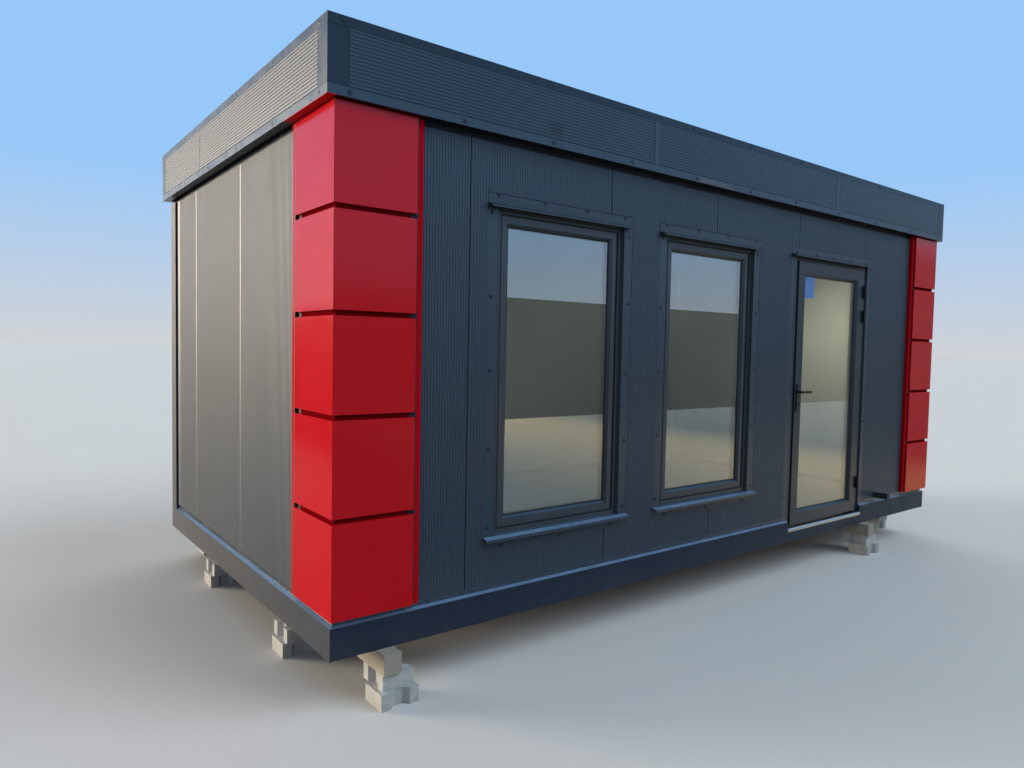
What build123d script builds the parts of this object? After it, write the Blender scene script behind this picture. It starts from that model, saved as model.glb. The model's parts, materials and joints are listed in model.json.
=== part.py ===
"""Portable site cabin: a steel floor frame on timber and concrete piers, sandwich panel walls,
two tall windows and a glazed door in the long front, a ribbed fascia round a sunk roof, and
folded cassette casings on the two front corners.

Millimetres. The origin is on the ground under the middle of the cabin, +X runs along the
front from left to right, the front faces -Y, and +Z is up.
"""
import os

from build123d import *

# Floor frame
CABIN_LENGTH = 6000
CABIN_WIDTH = 3036
PIER_HEIGHT = 260
RAIL_HEIGHT = 151
RAIL_WIDTH = 120
RAIL_STEEL = 4
RAIL_FOOT_LIP = 25
JOIST_WIDTH = 50
JOIST_CLEARANCE = 10
JOIST_PITCH = 600
DECK_THICKNESS = 35
DECK_UNDER_LIP = 60

# Walls
WALL_SETBACK = 21
WALL_THICKNESS = 100
WALL_HEIGHT = 2347
PANEL_PITCH = 1000
FRONT_FIRST_JOINT = 744
END_FIRST_JOINT = 375
PANEL_GROOVE = 6
POST_WIDTH = 130
POST_STEEL = 4
FLASHING_EDGE = 2
FLASHING_RISE = 11
FLASHING_LEG = 25
SHEET = 2

# Roof and fascia
BEAM_HEIGHT = 228
BEAM_WIDTH = 74
SHADOW_GAP_DEPTH = 34
SHADOW_GAP_HEIGHT = 47
FASCIA_OVERHANG = 24
FASCIA_THICKNESS = 47
FASCIA_HEIGHT = 342
FASCIA_ABOVE_WALL = 26
FASCIA_CAP_LEG = 45
FASCIA_FOOT_LEG = 43
FASCIA_CORNER_LEG = 100
FASCIA_GROOVE = 6
FASCIA_FIRST_JOINT = 2050
FASCIA_SECOND_JOINT = 4150
FASCIA_END_JOINT = 2004
CEILING_THICKNESS = 40
CEILING_CLEARANCE = 1
ROOF_PANEL_THICKNESS = 40
ROOF_RIB_HEIGHT = 35
ROOF_RIB_FOOT = 70
ROOF_RIB_CREST = 30
ROOF_RIB_PITCH = 300
ROOF_CLEARANCE = 3

# Corner casings
CASING_FRONT_LEG = 458
CASING_END_LEG = 496
CASING_FRONT_PROUD = 43
CASING_END_PROUD = 25
CASING_TRIM = 36
CASING_TRIM_GAP = 3
CASING_TRIM_STEP = 15
CASING_FOOT_GAP = 37
CASING_HEIGHT = 2329
CASSETTE_COUNT = 5
CASSETTE_GROOVE = 25
CASSETTE_DEPTH = 18
SOFFIT_SHEET = 3

# Windows
WINDOW_1_SHARE = 0.3755
WINDOW_2_SHARE = 0.732
WINDOW_FOOT = 296
SASH_WIDTH = 871
SASH_HEIGHT = 1669
SASH_FACE = 42
SASH_DEPTH = 62
FRAME_FACE = 45
FRAME_COVER = 15
FRAME_DEPTH = 70
FRAME_SETBACK = 18
FRAME_REBATE = 12
GLASS_THICKNESS = 24
GLASS_GROOVE = 12
SURROUND_LEG = 70
WINDOW_HANDLE_HEIGHT = 780
WINDOW_LEVER_LENGTH = 120

# Door
DOOR_FROM_RIGHT = 1750
DOOR_FRAME_WIDTH = 1096
DOOR_FRAME_FACE = 50
DOOR_FRAME_DEPTH = 85
DOOR_FRAME_SETBACK = 10
DOOR_NOTCH_DROP = 76
THRESHOLD_HEIGHT = 25
THRESHOLD_NOSE = 6
LEAF_HEIGHT = 2033
LEAF_FOOT_GAP = 17
LEAF_THICKNESS = 70
LEAF_FACE = 88
LEAF_GAP = 5
LATCH_GAP = 9
DOOR_STOP = 14
DOOR_SURROUND_LEG = 52
HINGE_RADIUS = 10
HINGE_PIN_RADIUS = 5
HINGE_BORE_CLEARANCE = 0.3
HINGE_KNUCKLE_GAP = 1
HINGE_STANDOFF = 16
HINGE_INSET = 8
HINGE_LENGTH = 100
HINGE_WING = 3
HINGE_WING_WIDTH = 30
HINGE_FOOT_HEIGHT = 190
HINGE_TOP_DROP = 128
HINGE_PAIR_PITCH = 207
HANDLE_HEIGHT = 1033
HANDLE_INSET = 29
LOCK_PLATE_WIDTH = 24
LOCK_PLATE_DEPTH = 8
LOCK_PLATE_CORNER = 7
LOCK_PLATE_ABOVE = 60
LOCK_PLATE_BELOW = 150
LOCK_CYLINDER_RADIUS = 9
LOCK_CYLINDER_DROP = 96
LEVER_LENGTH = 130
LEVER_HEIGHT = 20
LEVER_THICKNESS = 12
LEVER_EDGE = 4
LEVER_STANDOFF = 46
LEVER_NECK_RADIUS = 9
SPINDLE_RADIUS = 5
SPINDLE_CLEARANCE = 1
LEVER_NECK_GAP = 0.1

# Drip caps, sills and pipe
CAP_FLANGE = 50
CAP_PROJECTION = 40
CAP_DROP = 14
CAP_LIP = 8
CAP_SIDE = 30
SILL_PROJECTION = 38
SILL_DROP = 9
SILL_LIP = 17
PIPE_FROM_RIGHT = 920
PIPE_RADIUS = 25
PIPE_PROJECTION = 128
PIPE_CAP_LENGTH = 20
PIPE_CAP_RIM = 3

# Piers
TIMBER_WIDTH = 93
TIMBER_LENGTH = 520
TIMBER_NOSE = 83
PAVER_HEIGHT = 80
PAVER_LENGTH = 200
PAVER_WIDTH = 165
PAVER_WAIST = 28
PAVER_NOTCH_MOUTH = 100
PAVER_NOTCH_FLOOR = 50
PAVER_SHIFT = 36
LOWER_PAVER_NOSE = 93
UPPER_PAVER_NOSE = 69
LEFT_PIER_INSET = 280
RIGHT_PIER_INSET = 1155
LEFT_END_PIER_INSET = 150
LEFT_END_PIER_SPACING = 1400
RIGHT_END_PIER_INSET = 150
RIGHT_END_PIER_SPACING = 2260
END_TIMBER_LENGTH = 260

# Worked out from the sizes above
half_length = CABIN_LENGTH / 2
half_width = CABIN_WIDTH / 2
base_top = PIER_HEIGHT + RAIL_HEIGHT
wall_x = half_length - WALL_SETBACK
wall_y = half_width - WALL_SETBACK
inner_x = wall_x - WALL_THICKNESS
inner_y = wall_y - WALL_THICKNESS
wall_top = base_top + WALL_HEIGHT
front_post_x = wall_x - POST_WIDTH
front_post_y = wall_y - POST_WIDTH
back_post_x = half_length - POST_WIDTH
back_post_y = half_width - POST_WIDTH
notch_floor = base_top - DOOR_NOTCH_DROP
deck_top = notch_floor + DECK_THICKNESS
door_x = half_length - DOOR_FROM_RIGHT
door_left = door_x - DOOR_FRAME_WIDTH / 2
door_right = door_x + DOOR_FRAME_WIDTH / 2
threshold_top = notch_floor + THRESHOLD_HEIGHT
leaf_foot = threshold_top + LEAF_FOOT_GAP
leaf_top = leaf_foot + LEAF_HEIGHT
leaf_left = door_left + DOOR_FRAME_FACE + LATCH_GAP
leaf_right = door_right - DOOR_FRAME_FACE - LEAF_GAP
door_head = leaf_top + LEAF_GAP + DOOR_FRAME_FACE
door_frame_front = wall_y - DOOR_FRAME_SETBACK
door_frame_back = door_frame_front - DOOR_FRAME_DEPTH
leaf_back = wall_y - LEAF_THICKNESS
beam_x = wall_x + FASCIA_OVERHANG
beam_y = wall_y + FASCIA_OVERHANG
beam_top = wall_top + BEAM_HEIGHT
fascia_foot = wall_top + FASCIA_ABOVE_WALL
fascia_top = fascia_foot + FASCIA_HEIGHT
fascia_x = beam_x + FASCIA_THICKNESS
fascia_y = beam_y + FASCIA_THICKNESS
opening_width = SASH_WIDTH + 2 * (FRAME_FACE - FRAME_COVER)
opening_height = SASH_HEIGHT + 2 * (FRAME_FACE - FRAME_COVER)
window_z = base_top + WINDOW_FOOT + opening_height / 2
left_of_door = door_left + half_length
window_xs = [share * left_of_door - half_length for share in (WINDOW_1_SHARE, WINDOW_2_SHARE)]
pipe_x = half_length - PIPE_FROM_RIGHT
PUT = Align.MIN

os.makedirs("parts", exist_ok=True)


def save(builder, name):
    """Label a finished piece and write it to its own file."""
    builder.part.label = name
    export_step(builder.part, f"parts/{name}.step")


def block(x, y, z, mode=Mode.ADD):
    """A box between two limits on each axis, for use inside a part."""
    with Locations((x[0], y[0], z[0])):
        Box(x[1] - x[0], y[1] - y[0], z[1] - z[0], align=(PUT, PUT, PUT), mode=mode)


def channel_profile(plane, head_lip):
    """Section of a lipped channel, its web at 0 on the plane's first axis."""
    with BuildSketch(plane) as profile:
        Rectangle(RAIL_WIDTH, RAIL_HEIGHT, align=(PUT, PUT))
        with Locations((RAIL_STEEL, RAIL_STEEL)):
            Rectangle(RAIL_WIDTH - 2 * RAIL_STEEL, RAIL_HEIGHT - 2 * RAIL_STEEL,
                      align=(PUT, PUT), mode=Mode.SUBTRACT)
        with Locations((RAIL_WIDTH - RAIL_STEEL, RAIL_FOOT_LIP)):
            Rectangle(RAIL_STEEL, RAIL_HEIGHT - RAIL_FOOT_LIP - head_lip,
                      align=(PUT, PUT), mode=Mode.SUBTRACT)
    return profile.sketch


def folded_profile(plane, points, side):
    """Section of a sheet folded along the points, one sheet thick to the given side."""
    with BuildSketch(plane) as profile:
        with BuildLine() as line:
            Polyline(*points)
            offset(amount=SHEET, side=side, kind=Kind.INTERSECTION)
        make_face()
    return profile.sketch


# Floor frame rails
head_lip = base_top - deck_top

with BuildPart() as base_front_rail:
    extrude(channel_profile(Plane((-half_length, -half_width, PIER_HEIGHT),
                                  x_dir=(0, 1, 0), z_dir=(1, 0, 0)), head_lip),
            amount=CABIN_LENGTH)
    for end in (-half_length, half_length - RAIL_STEEL):
        block((end, end + RAIL_STEEL), (-half_width, RAIL_WIDTH - half_width),
              (PIER_HEIGHT, base_top))
    block((door_left - RAIL_STEEL, door_right + RAIL_STEEL),
          (-half_width, RAIL_WIDTH - half_width), (notch_floor - RAIL_STEEL, base_top))
    block((door_left, door_right), (-half_width, RAIL_WIDTH - half_width),
          (notch_floor, base_top), mode=Mode.SUBTRACT)
save(base_front_rail, "base_front_rail")

with BuildPart() as base_back_rail:
    extrude(channel_profile(Plane((half_length, half_width, PIER_HEIGHT),
                                  x_dir=(0, -1, 0), z_dir=(-1, 0, 0)), head_lip),
            amount=CABIN_LENGTH)
    for end in (-half_length, half_length - RAIL_STEEL):
        block((end, end + RAIL_STEEL), (half_width - RAIL_WIDTH, half_width),
              (PIER_HEIGHT, base_top))
save(base_back_rail, "base_back_rail")

with BuildPart() as base_end_rails:
    extrude(channel_profile(Plane((-half_length, half_width - RAIL_WIDTH, PIER_HEIGHT),
                                  x_dir=(1, 0, 0), z_dir=(0, -1, 0)), head_lip),
            amount=CABIN_WIDTH - 2 * RAIL_WIDTH)
    mirror(about=Plane.YZ)
save(base_end_rails, "base_end_rails")

# Joists and floor deck
joist_span = CABIN_WIDTH - 2 * RAIL_WIDTH
joist_foot = PIER_HEIGHT + JOIST_CLEARANCE
joist_height = notch_floor - RAIL_STEEL - joist_foot + RAIL_STEEL
joist_count = int((CABIN_LENGTH - 2 * RAIL_WIDTH) / JOIST_PITCH)

with BuildPart() as floor_joists:
    with BuildSketch(Plane.XZ.offset(-joist_span / 2)):
        with Locations((0, joist_foot + joist_height / 2)):
            with GridLocations(JOIST_PITCH, 1, joist_count, 1):
                Rectangle(JOIST_WIDTH, joist_height)
                Rectangle(JOIST_WIDTH - 2 * RAIL_STEEL, joist_height - 2 * RAIL_STEEL,
                          mode=Mode.SUBTRACT)
    extrude(amount=joist_span)
save(floor_joists, "floor_joists")

deck_x = half_length - RAIL_WIDTH + DECK_UNDER_LIP
deck_y = half_width - RAIL_WIDTH + DECK_UNDER_LIP

with BuildPart() as floor_deck:
    block((-deck_x, deck_x), (-deck_y, deck_y), (notch_floor, deck_top))
    block((door_left - RAIL_STEEL, door_right + RAIL_STEEL),
          (-deck_y, RAIL_WIDTH - half_width), (notch_floor, deck_top), mode=Mode.SUBTRACT)
save(floor_deck, "floor_deck")

# Corner posts: flush with the frame at the back, set back under the casings at the front
with BuildPart() as corner_posts:
    with BuildSketch(Plane.XY.offset(base_top)):
        with Locations((0, half_width - POST_WIDTH / 2)):
            with GridLocations(CABIN_LENGTH - POST_WIDTH, 1, 2, 1):
                Rectangle(POST_WIDTH, POST_WIDTH)
                Rectangle(POST_WIDTH - 2 * POST_STEEL, POST_WIDTH - 2 * POST_STEEL,
                          mode=Mode.SUBTRACT)
        with Locations((0, POST_WIDTH / 2 - wall_y)):
            with GridLocations(2 * wall_x - POST_WIDTH, 1, 2, 1):
                Rectangle(POST_WIDTH, POST_WIDTH)
                Rectangle(POST_WIDTH - 2 * POST_STEEL, POST_WIDTH - 2 * POST_STEEL,
                          mode=Mode.SUBTRACT)
    extrude(amount=WALL_HEIGHT)
save(corner_posts, "corner_posts")


# Walls
def joints_between(start, first, end):
    """Places of the panel joints from start to end, the first one set off from start."""
    places = []
    place = start + first
    while place < end:
        places.append(place)
        place += PANEL_PITCH
    return places


front_joints = joints_between(-half_length, FRONT_FIRST_JOINT, half_length)
end_joints = joints_between(-half_width, END_FIRST_JOINT, half_width)


def groove_long_wall(low, high, face):
    """Cut the panel joints between two limits into the face of a front or back wall."""
    for place in front_joints:
        if low + PANEL_GROOVE < place < high - PANEL_GROOVE:
            block((place - PANEL_GROOVE / 2, place + PANEL_GROOVE / 2),
                  (face - PANEL_GROOVE, face + PANEL_GROOVE), (base_top, wall_top),
                  mode=Mode.SUBTRACT)


window_hole_width = SASH_WIDTH + 2 * FRAME_FACE
window_hole_height = SASH_HEIGHT + 2 * FRAME_FACE

with BuildPart() as front_wall_windows:
    block((-front_post_x, door_left), (-wall_y, -inner_y), (base_top, wall_top))
    groove_long_wall(-front_post_x, door_left, -wall_y)
    for place in window_xs:
        block((place - window_hole_width / 2, place + window_hole_width / 2),
              (-wall_y, -inner_y),
              (window_z - window_hole_height / 2, window_z + window_hole_height / 2),
              mode=Mode.SUBTRACT)
save(front_wall_windows, "front_wall_windows")

with BuildPart() as front_wall_over_door:
    block((door_left, door_right), (-wall_y, -inner_y), (door_head, wall_top))
    groove_long_wall(door_left, door_right, -wall_y)
save(front_wall_over_door, "front_wall_over_door")

pipe_z = base_top + FLASHING_RISE + FLASHING_LEG + SHEET + PIPE_RADIUS

with BuildPart() as front_wall_right:
    block((door_right, front_post_x), (-wall_y, -inner_y), (base_top, wall_top))
    groove_long_wall(door_right, front_post_x, -wall_y)
    with Locations(Plane((pipe_x, -wall_y, pipe_z), z_dir=(0, 1, 0))):
        Cylinder(PIPE_RADIUS, WALL_THICKNESS, align=(Align.CENTER, Align.CENTER, PUT),
                 mode=Mode.SUBTRACT)
save(front_wall_right, "front_wall_right")

with BuildPart() as back_wall:
    block((-back_post_x, back_post_x), (inner_y, wall_y), (base_top, wall_top))
    groove_long_wall(-back_post_x, back_post_x, wall_y)
save(back_wall, "back_wall")

with BuildPart() as end_walls:
    block((-wall_x, -inner_x), (-front_post_y, back_post_y), (base_top, wall_top))
    for place in end_joints:
        block((-wall_x, PANEL_GROOVE - wall_x),
              (place - PANEL_GROOVE / 2, place + PANEL_GROOVE / 2),
              (base_top, wall_top), mode=Mode.SUBTRACT)
    mirror(about=Plane.YZ)
save(end_walls, "end_walls")

# Drip flashing: a slope that sheds water off the frame and a leg up the wall face
with BuildPart() as drip_flashing:
    block((-half_length, half_length), (-half_width, half_width),
          (base_top, base_top + FLASHING_EDGE))
    with BuildSketch(Plane.XY.offset(base_top + FLASHING_EDGE)):
        Rectangle(CABIN_LENGTH, CABIN_WIDTH)
    with BuildSketch(Plane.XY.offset(base_top + FLASHING_RISE)):
        Rectangle(2 * (wall_x + SHEET), 2 * (wall_y + SHEET))
    loft()
    block((-wall_x - SHEET, wall_x + SHEET), (-wall_y - SHEET, wall_y + SHEET),
          (base_top + FLASHING_RISE, base_top + FLASHING_RISE + FLASHING_LEG))
    block((-wall_x, wall_x), (-wall_y, wall_y),
          (base_top, base_top + FLASHING_RISE + FLASHING_LEG), mode=Mode.SUBTRACT)
    block((door_left, door_right), (-half_width, -wall_y),
          (base_top, base_top + FLASHING_RISE + FLASHING_LEG), mode=Mode.SUBTRACT)
    for edge in (-half_length, back_post_x):
        block((edge, edge + POST_WIDTH), (back_post_y, half_width),
              (base_top, base_top + FLASHING_RISE + FLASHING_LEG), mode=Mode.SUBTRACT)
save(drip_flashing, "drip_flashing")


# Roof beams, rebated at the foot to leave the dark gap over the walls
def beam_profile(plane):
    """Section of a roof beam, its outer face at 0 and its inside on the positive side."""
    with BuildSketch(plane) as profile:
        Rectangle(BEAM_WIDTH, BEAM_HEIGHT, align=(PUT, PUT))
        Rectangle(SHADOW_GAP_DEPTH, SHADOW_GAP_HEIGHT, align=(PUT, PUT), mode=Mode.SUBTRACT)
    return profile.sketch


with BuildPart() as roof_long_beams:
    extrude(beam_profile(Plane((-beam_x, -beam_y, wall_top), x_dir=(0, 1, 0),
                               z_dir=(1, 0, 0))), amount=2 * beam_x)
    for edge in (-beam_x, beam_x - SHADOW_GAP_DEPTH):
        block((edge, edge + SHADOW_GAP_DEPTH), (-beam_y, BEAM_WIDTH - beam_y),
              (wall_top, wall_top + SHADOW_GAP_HEIGHT), mode=Mode.SUBTRACT)
    mirror(about=Plane.XZ)
save(roof_long_beams, "roof_long_beams")

with BuildPart() as roof_end_beams:
    extrude(beam_profile(Plane((-beam_x, beam_y - BEAM_WIDTH, wall_top), x_dir=(1, 0, 0),
                               z_dir=(0, -1, 0))), amount=2 * (beam_y - BEAM_WIDTH))
    mirror(about=Plane.YZ)
save(roof_end_beams, "roof_end_beams")

ceiling_x = beam_x - BEAM_WIDTH - CEILING_CLEARANCE
ceiling_y = beam_y - BEAM_WIDTH - CEILING_CLEARANCE

with BuildPart() as ceiling_panel:
    block((-ceiling_x, ceiling_x), (-ceiling_y, ceiling_y),
          (wall_top, wall_top + CEILING_THICKNESS))
save(ceiling_panel, "ceiling_panel")

# Sunk roof panel with trapezoid ribs across the cabin
roof_x = beam_x - ROOF_CLEARANCE
roof_y = beam_y - ROOF_CLEARANCE
roof_panel_top = beam_top + ROOF_PANEL_THICKNESS
rib_count = int((2 * roof_x - ROOF_RIB_FOOT) / ROOF_RIB_PITCH) + 1

with BuildPart() as roof_panel:
    block((-roof_x, roof_x), (-roof_y, roof_y), (beam_top, roof_panel_top))
    with BuildSketch(Plane.XZ.offset(-roof_y)):
        with Locations((0, roof_panel_top + ROOF_RIB_HEIGHT / 2)):
            with GridLocations(ROOF_RIB_PITCH, 1, rib_count, 1):
                Polygon((-ROOF_RIB_FOOT / 2, -ROOF_RIB_HEIGHT / 2),
                        (ROOF_RIB_FOOT / 2, -ROOF_RIB_HEIGHT / 2),
                        (ROOF_RIB_CREST / 2, ROOF_RIB_HEIGHT / 2),
                        (-ROOF_RIB_CREST / 2, ROOF_RIB_HEIGHT / 2))
    extrude(amount=2 * roof_y)
save(roof_panel, "roof_panel")

# Fascia panels, one sheet inside the trims that edge them
panel_x = fascia_x - SHEET
panel_y = fascia_y - SHEET
panel_foot = fascia_foot + SHEET
panel_top = fascia_top - SHEET


with BuildPart() as fascia_sides:
    block((-panel_x, panel_x), (-panel_y, -beam_y), (panel_foot, panel_top))
    for joint in (FASCIA_FIRST_JOINT, FASCIA_SECOND_JOINT):
        place = joint - half_length
        block((place - FASCIA_GROOVE / 2, place + FASCIA_GROOVE / 2),
              (-panel_y, FASCIA_GROOVE - panel_y), (panel_foot, panel_top),
              mode=Mode.SUBTRACT)
    mirror(about=Plane.XZ)
save(fascia_sides, "fascia_sides")

end_joint_y = FASCIA_END_JOINT - half_width

with BuildPart() as fascia_ends:
    block((-panel_x, -beam_x), (-beam_y, beam_y), (panel_foot, panel_top))
    block((-panel_x, FASCIA_GROOVE - panel_x),
          (end_joint_y - FASCIA_GROOVE / 2, end_joint_y + FASCIA_GROOVE / 2),
          (panel_foot, panel_top), mode=Mode.SUBTRACT)
    mirror(about=Plane.YZ)
save(fascia_ends, "fascia_ends")


def band(outer, inner, z, mode=Mode.ADD):
    """A level rectangular band between two half sizes and two heights."""
    with BuildSketch(Plane.XY.offset(z[0])) as section:
        Rectangle(2 * outer[0], 2 * outer[1])
        Rectangle(2 * inner[0], 2 * inner[1], mode=Mode.SUBTRACT)
    extrude(section.sketch, amount=z[1] - z[0], mode=mode)


# Fascia trims: a cap folded over the top, a foot folded under, and angles on the corners
with BuildPart() as fascia_cap:
    band((fascia_x, fascia_y), (panel_x, panel_y), (fascia_top - FASCIA_CAP_LEG, fascia_top))
    band((fascia_x, fascia_y), (beam_x - SHEET, beam_y - SHEET), (panel_top, fascia_top))
    band((beam_x, beam_y), (beam_x - SHEET, beam_y - SHEET),
         (fascia_top - FASCIA_CAP_LEG, fascia_top))
save(fascia_cap, "fascia_cap")

with BuildPart() as fascia_foot_trim:
    band((fascia_x, fascia_y), (panel_x, panel_y), (fascia_foot, fascia_foot + FASCIA_FOOT_LEG))
    band((fascia_x, fascia_y), (beam_x, beam_y), (fascia_foot, panel_foot))
save(fascia_foot_trim, "fascia_foot_trim")

with BuildPart() as fascia_corner_trims:
    band((fascia_x, fascia_y), (panel_x, panel_y),
         (fascia_foot + FASCIA_FOOT_LEG, fascia_top - FASCIA_CAP_LEG))
    block((FASCIA_CORNER_LEG - fascia_x, fascia_x - FASCIA_CORNER_LEG), (-fascia_y, fascia_y),
          (fascia_foot, fascia_top), mode=Mode.SUBTRACT)
    block((-fascia_x, fascia_x), (FASCIA_CORNER_LEG - fascia_y, fascia_y - FASCIA_CORNER_LEG),
          (fascia_foot, fascia_top), mode=Mode.SUBTRACT)
save(fascia_corner_trims, "fascia_corner_trims")

# Corner casings on the front corners
casing_x = wall_x + CASING_END_PROUD
casing_y = wall_y + CASING_FRONT_PROUD
casing_foot = base_top + CASING_FOOT_GAP
casing_top = casing_foot + CASING_HEIGHT
casing_front_end = CASING_FRONT_LEG - casing_x
casing_side_end = CASING_END_LEG - casing_y
cassette_height = (CASING_HEIGHT - (CASSETTE_COUNT - 1) * CASSETTE_GROOVE) / CASSETTE_COUNT
trim_and_gap = CASING_TRIM + CASING_TRIM_GAP


def corner_angle(outer, inner, ends, z, mode=Mode.ADD):
    """An angle in plan round the left front corner, between two faces and two heights."""
    block((-outer[0], ends[0]), (-outer[1], -inner[1]), z, mode)
    block((-outer[0], -inner[0]), (-outer[1], ends[1]), z, mode)


with BuildPart() as left_casing_backing:
    corner_angle((casing_x - CASSETTE_DEPTH, casing_y - CASSETTE_DEPTH), (wall_x, wall_y),
                 (casing_front_end, casing_side_end), (casing_foot, casing_top))
    block((casing_front_end - CASING_TRIM, casing_front_end),
          (CASING_TRIM_STEP - casing_y, -wall_y), (casing_foot, casing_top))
    block((CASING_TRIM_STEP - casing_x, -wall_x),
          (casing_side_end - CASING_TRIM, casing_side_end), (casing_foot, casing_top))
save(left_casing_backing, "left_casing_backing")

# Each cassette is a tray: sheet folded round the corner, its four edges returned to the backing
cassette_back = (casing_x - CASSETTE_DEPTH, casing_y - CASSETTE_DEPTH)
cassette_ends = (casing_front_end - trim_and_gap, casing_side_end - trim_and_gap)

with BuildPart() as left_casing_cassettes:
    for step in range(CASSETTE_COUNT):
        foot = casing_foot + step * (cassette_height + CASSETTE_GROOVE)
        head = foot + cassette_height
        corner_angle((casing_x, casing_y), cassette_back, cassette_ends, (foot, head))
        corner_angle((casing_x - SHEET, casing_y - SHEET), cassette_back,
                     (cassette_ends[0] - SHEET, cassette_ends[1] - SHEET),
                     (foot + SHEET, head - SHEET), mode=Mode.SUBTRACT)
save(left_casing_cassettes, "left_casing_cassettes")

with BuildPart() as right_casing_backing:
    mirror(left_casing_backing.part, about=Plane.YZ)
save(right_casing_backing, "right_casing_backing")

with BuildPart() as right_casing_cassettes:
    mirror(left_casing_cassettes.part, about=Plane.YZ)
save(right_casing_cassettes, "right_casing_cassettes")

with BuildPart() as casing_soffits:
    corner_angle((fascia_x, fascia_y), (wall_x, wall_y), (casing_front_end, casing_side_end),
                 (fascia_foot - SOFFIT_SHEET, fascia_foot))
    mirror(about=Plane.YZ)
save(casing_soffits, "casing_soffits")

# Windows: frame in the wall, sash with a glazing groove, sealed glass unit
frame_front = wall_y - FRAME_SETBACK
frame_back = frame_front - FRAME_DEPTH
sash_front = frame_front - FRAME_REBATE / 2
sash_back = sash_front - SASH_DEPTH
glass_middle = (sash_front + sash_back) / 2
sash_opening_width = SASH_WIDTH - 2 * SASH_FACE
sash_opening_height = SASH_HEIGHT - 2 * SASH_FACE
places = [(place, window_z) for place in window_xs]


def window_rings(back, width, height, face, depth, mode=Mode.ADD):
    """One rectangular frame at each window, from a distance back out towards the front."""
    with BuildSketch(Plane.XZ.offset(back)) as section:
        with Locations(*places):
            Rectangle(width, height)
            if face:
                Rectangle(width - 2 * face, height - 2 * face, mode=Mode.SUBTRACT)
    extrude(section.sketch, amount=depth, mode=mode)


with BuildPart() as window_frames:
    window_rings(frame_back, window_hole_width, window_hole_height, FRAME_FACE, FRAME_DEPTH)
save(window_frames, "window_frames")

with BuildPart() as window_sashes:
    window_rings(sash_back, SASH_WIDTH, SASH_HEIGHT, SASH_FACE, SASH_DEPTH)
    window_rings(glass_middle - GLASS_THICKNESS / 2, sash_opening_width + 2 * GLASS_GROOVE,
                 sash_opening_height + 2 * GLASS_GROOVE, 0, GLASS_THICKNESS,
                 mode=Mode.SUBTRACT)
save(window_sashes, "window_sashes")

with BuildPart() as window_panes:
    window_rings(glass_middle - GLASS_THICKNESS / 2, sash_opening_width + 2 * GLASS_GROOVE,
                 sash_opening_height + 2 * GLASS_GROOVE, 0, GLASS_THICKNESS)
save(window_panes, "window_panes")

with BuildPart() as window_handles:
    handle_z = window_z - SASH_HEIGHT / 2 + WINDOW_HANDLE_HEIGHT
    for place in window_xs:
        stile = place - SASH_WIDTH / 2 + SASH_FACE / 2
        block((stile - 15, stile + 15), (-sash_back, 8 - sash_back),
              (handle_z - 35, handle_z + 35))
        block((stile - 8, stile + 8), (8 - sash_back, 45 - sash_back),
              (handle_z - 8, handle_z + 8))
        block((stile - 8, stile + 8), (33 - sash_back, 45 - sash_back),
              (handle_z - WINDOW_LEVER_LENGTH, handle_z + 8))
save(window_handles, "window_handles")

# Flashing surrounds: flat on the wall face and returned into the window openings
with BuildPart() as opening_surrounds:
    window_rings(wall_y, opening_width + 2 * SURROUND_LEG, opening_height + 2 * SURROUND_LEG,
                 SURROUND_LEG, SHEET)
    window_rings(frame_front, opening_width + 2 * SHEET, opening_height + 2 * SHEET, SHEET,
                 FRAME_SETBACK)
    block((door_left - DOOR_SURROUND_LEG, door_right + DOOR_SURROUND_LEG),
          (-wall_y - SHEET, -wall_y),
          (base_top + FLASHING_RISE + FLASHING_LEG, door_head + DOOR_SURROUND_LEG))
    block((door_left, door_right), (-wall_y - SHEET, -wall_y), (base_top, door_head),
          mode=Mode.SUBTRACT)
save(opening_surrounds, "opening_surrounds")

# Head drip caps and sills, folded from sheet
surround_face = wall_y + SHEET


def cap_over(x, width, foot):
    """A drip cap over an opening, from its lip's underside at foot up to its flange."""
    fold = foot + CAP_LIP + CAP_DROP
    points = ((-surround_face, fold + CAP_FLANGE), (-surround_face, fold),
              (-surround_face - CAP_PROJECTION, foot + CAP_LIP),
              (-surround_face - CAP_PROJECTION, foot))
    start = Plane((x - width / 2, 0, 0), x_dir=(0, 1, 0), z_dir=(1, 0, 0))
    extrude(folded_profile(start, points, Side.RIGHT), amount=width)


window_head = window_z + opening_height / 2
window_foot = window_z - opening_height / 2

with BuildPart() as head_drip_caps:
    for place in window_xs:
        cap_over(place, opening_width + 2 * SURROUND_LEG, window_head - CAP_LIP)
    cap_over(door_x, DOOR_FRAME_WIDTH + 2 * DOOR_SURROUND_LEG, door_head - 2 * CAP_LIP - CAP_DROP)
save(head_drip_caps, "head_drip_caps")

sill_top = window_foot - SHEET
sill_nose = surround_face + SILL_PROJECTION

with BuildPart() as window_sills:
    for place in window_xs:
        start = Plane((place - opening_width / 2 - SURROUND_LEG, 0, 0), x_dir=(0, 1, 0),
                      z_dir=(1, 0, 0))
        points = ((-surround_face - SHEET / 2, sill_top), (-sill_nose, sill_top - SILL_DROP),
                  (-sill_nose, sill_top - SILL_DROP - SILL_LIP))
        extrude(folded_profile(start, points, Side.LEFT),
                amount=opening_width + 2 * SURROUND_LEG)
save(window_sills, "window_sills")

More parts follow.
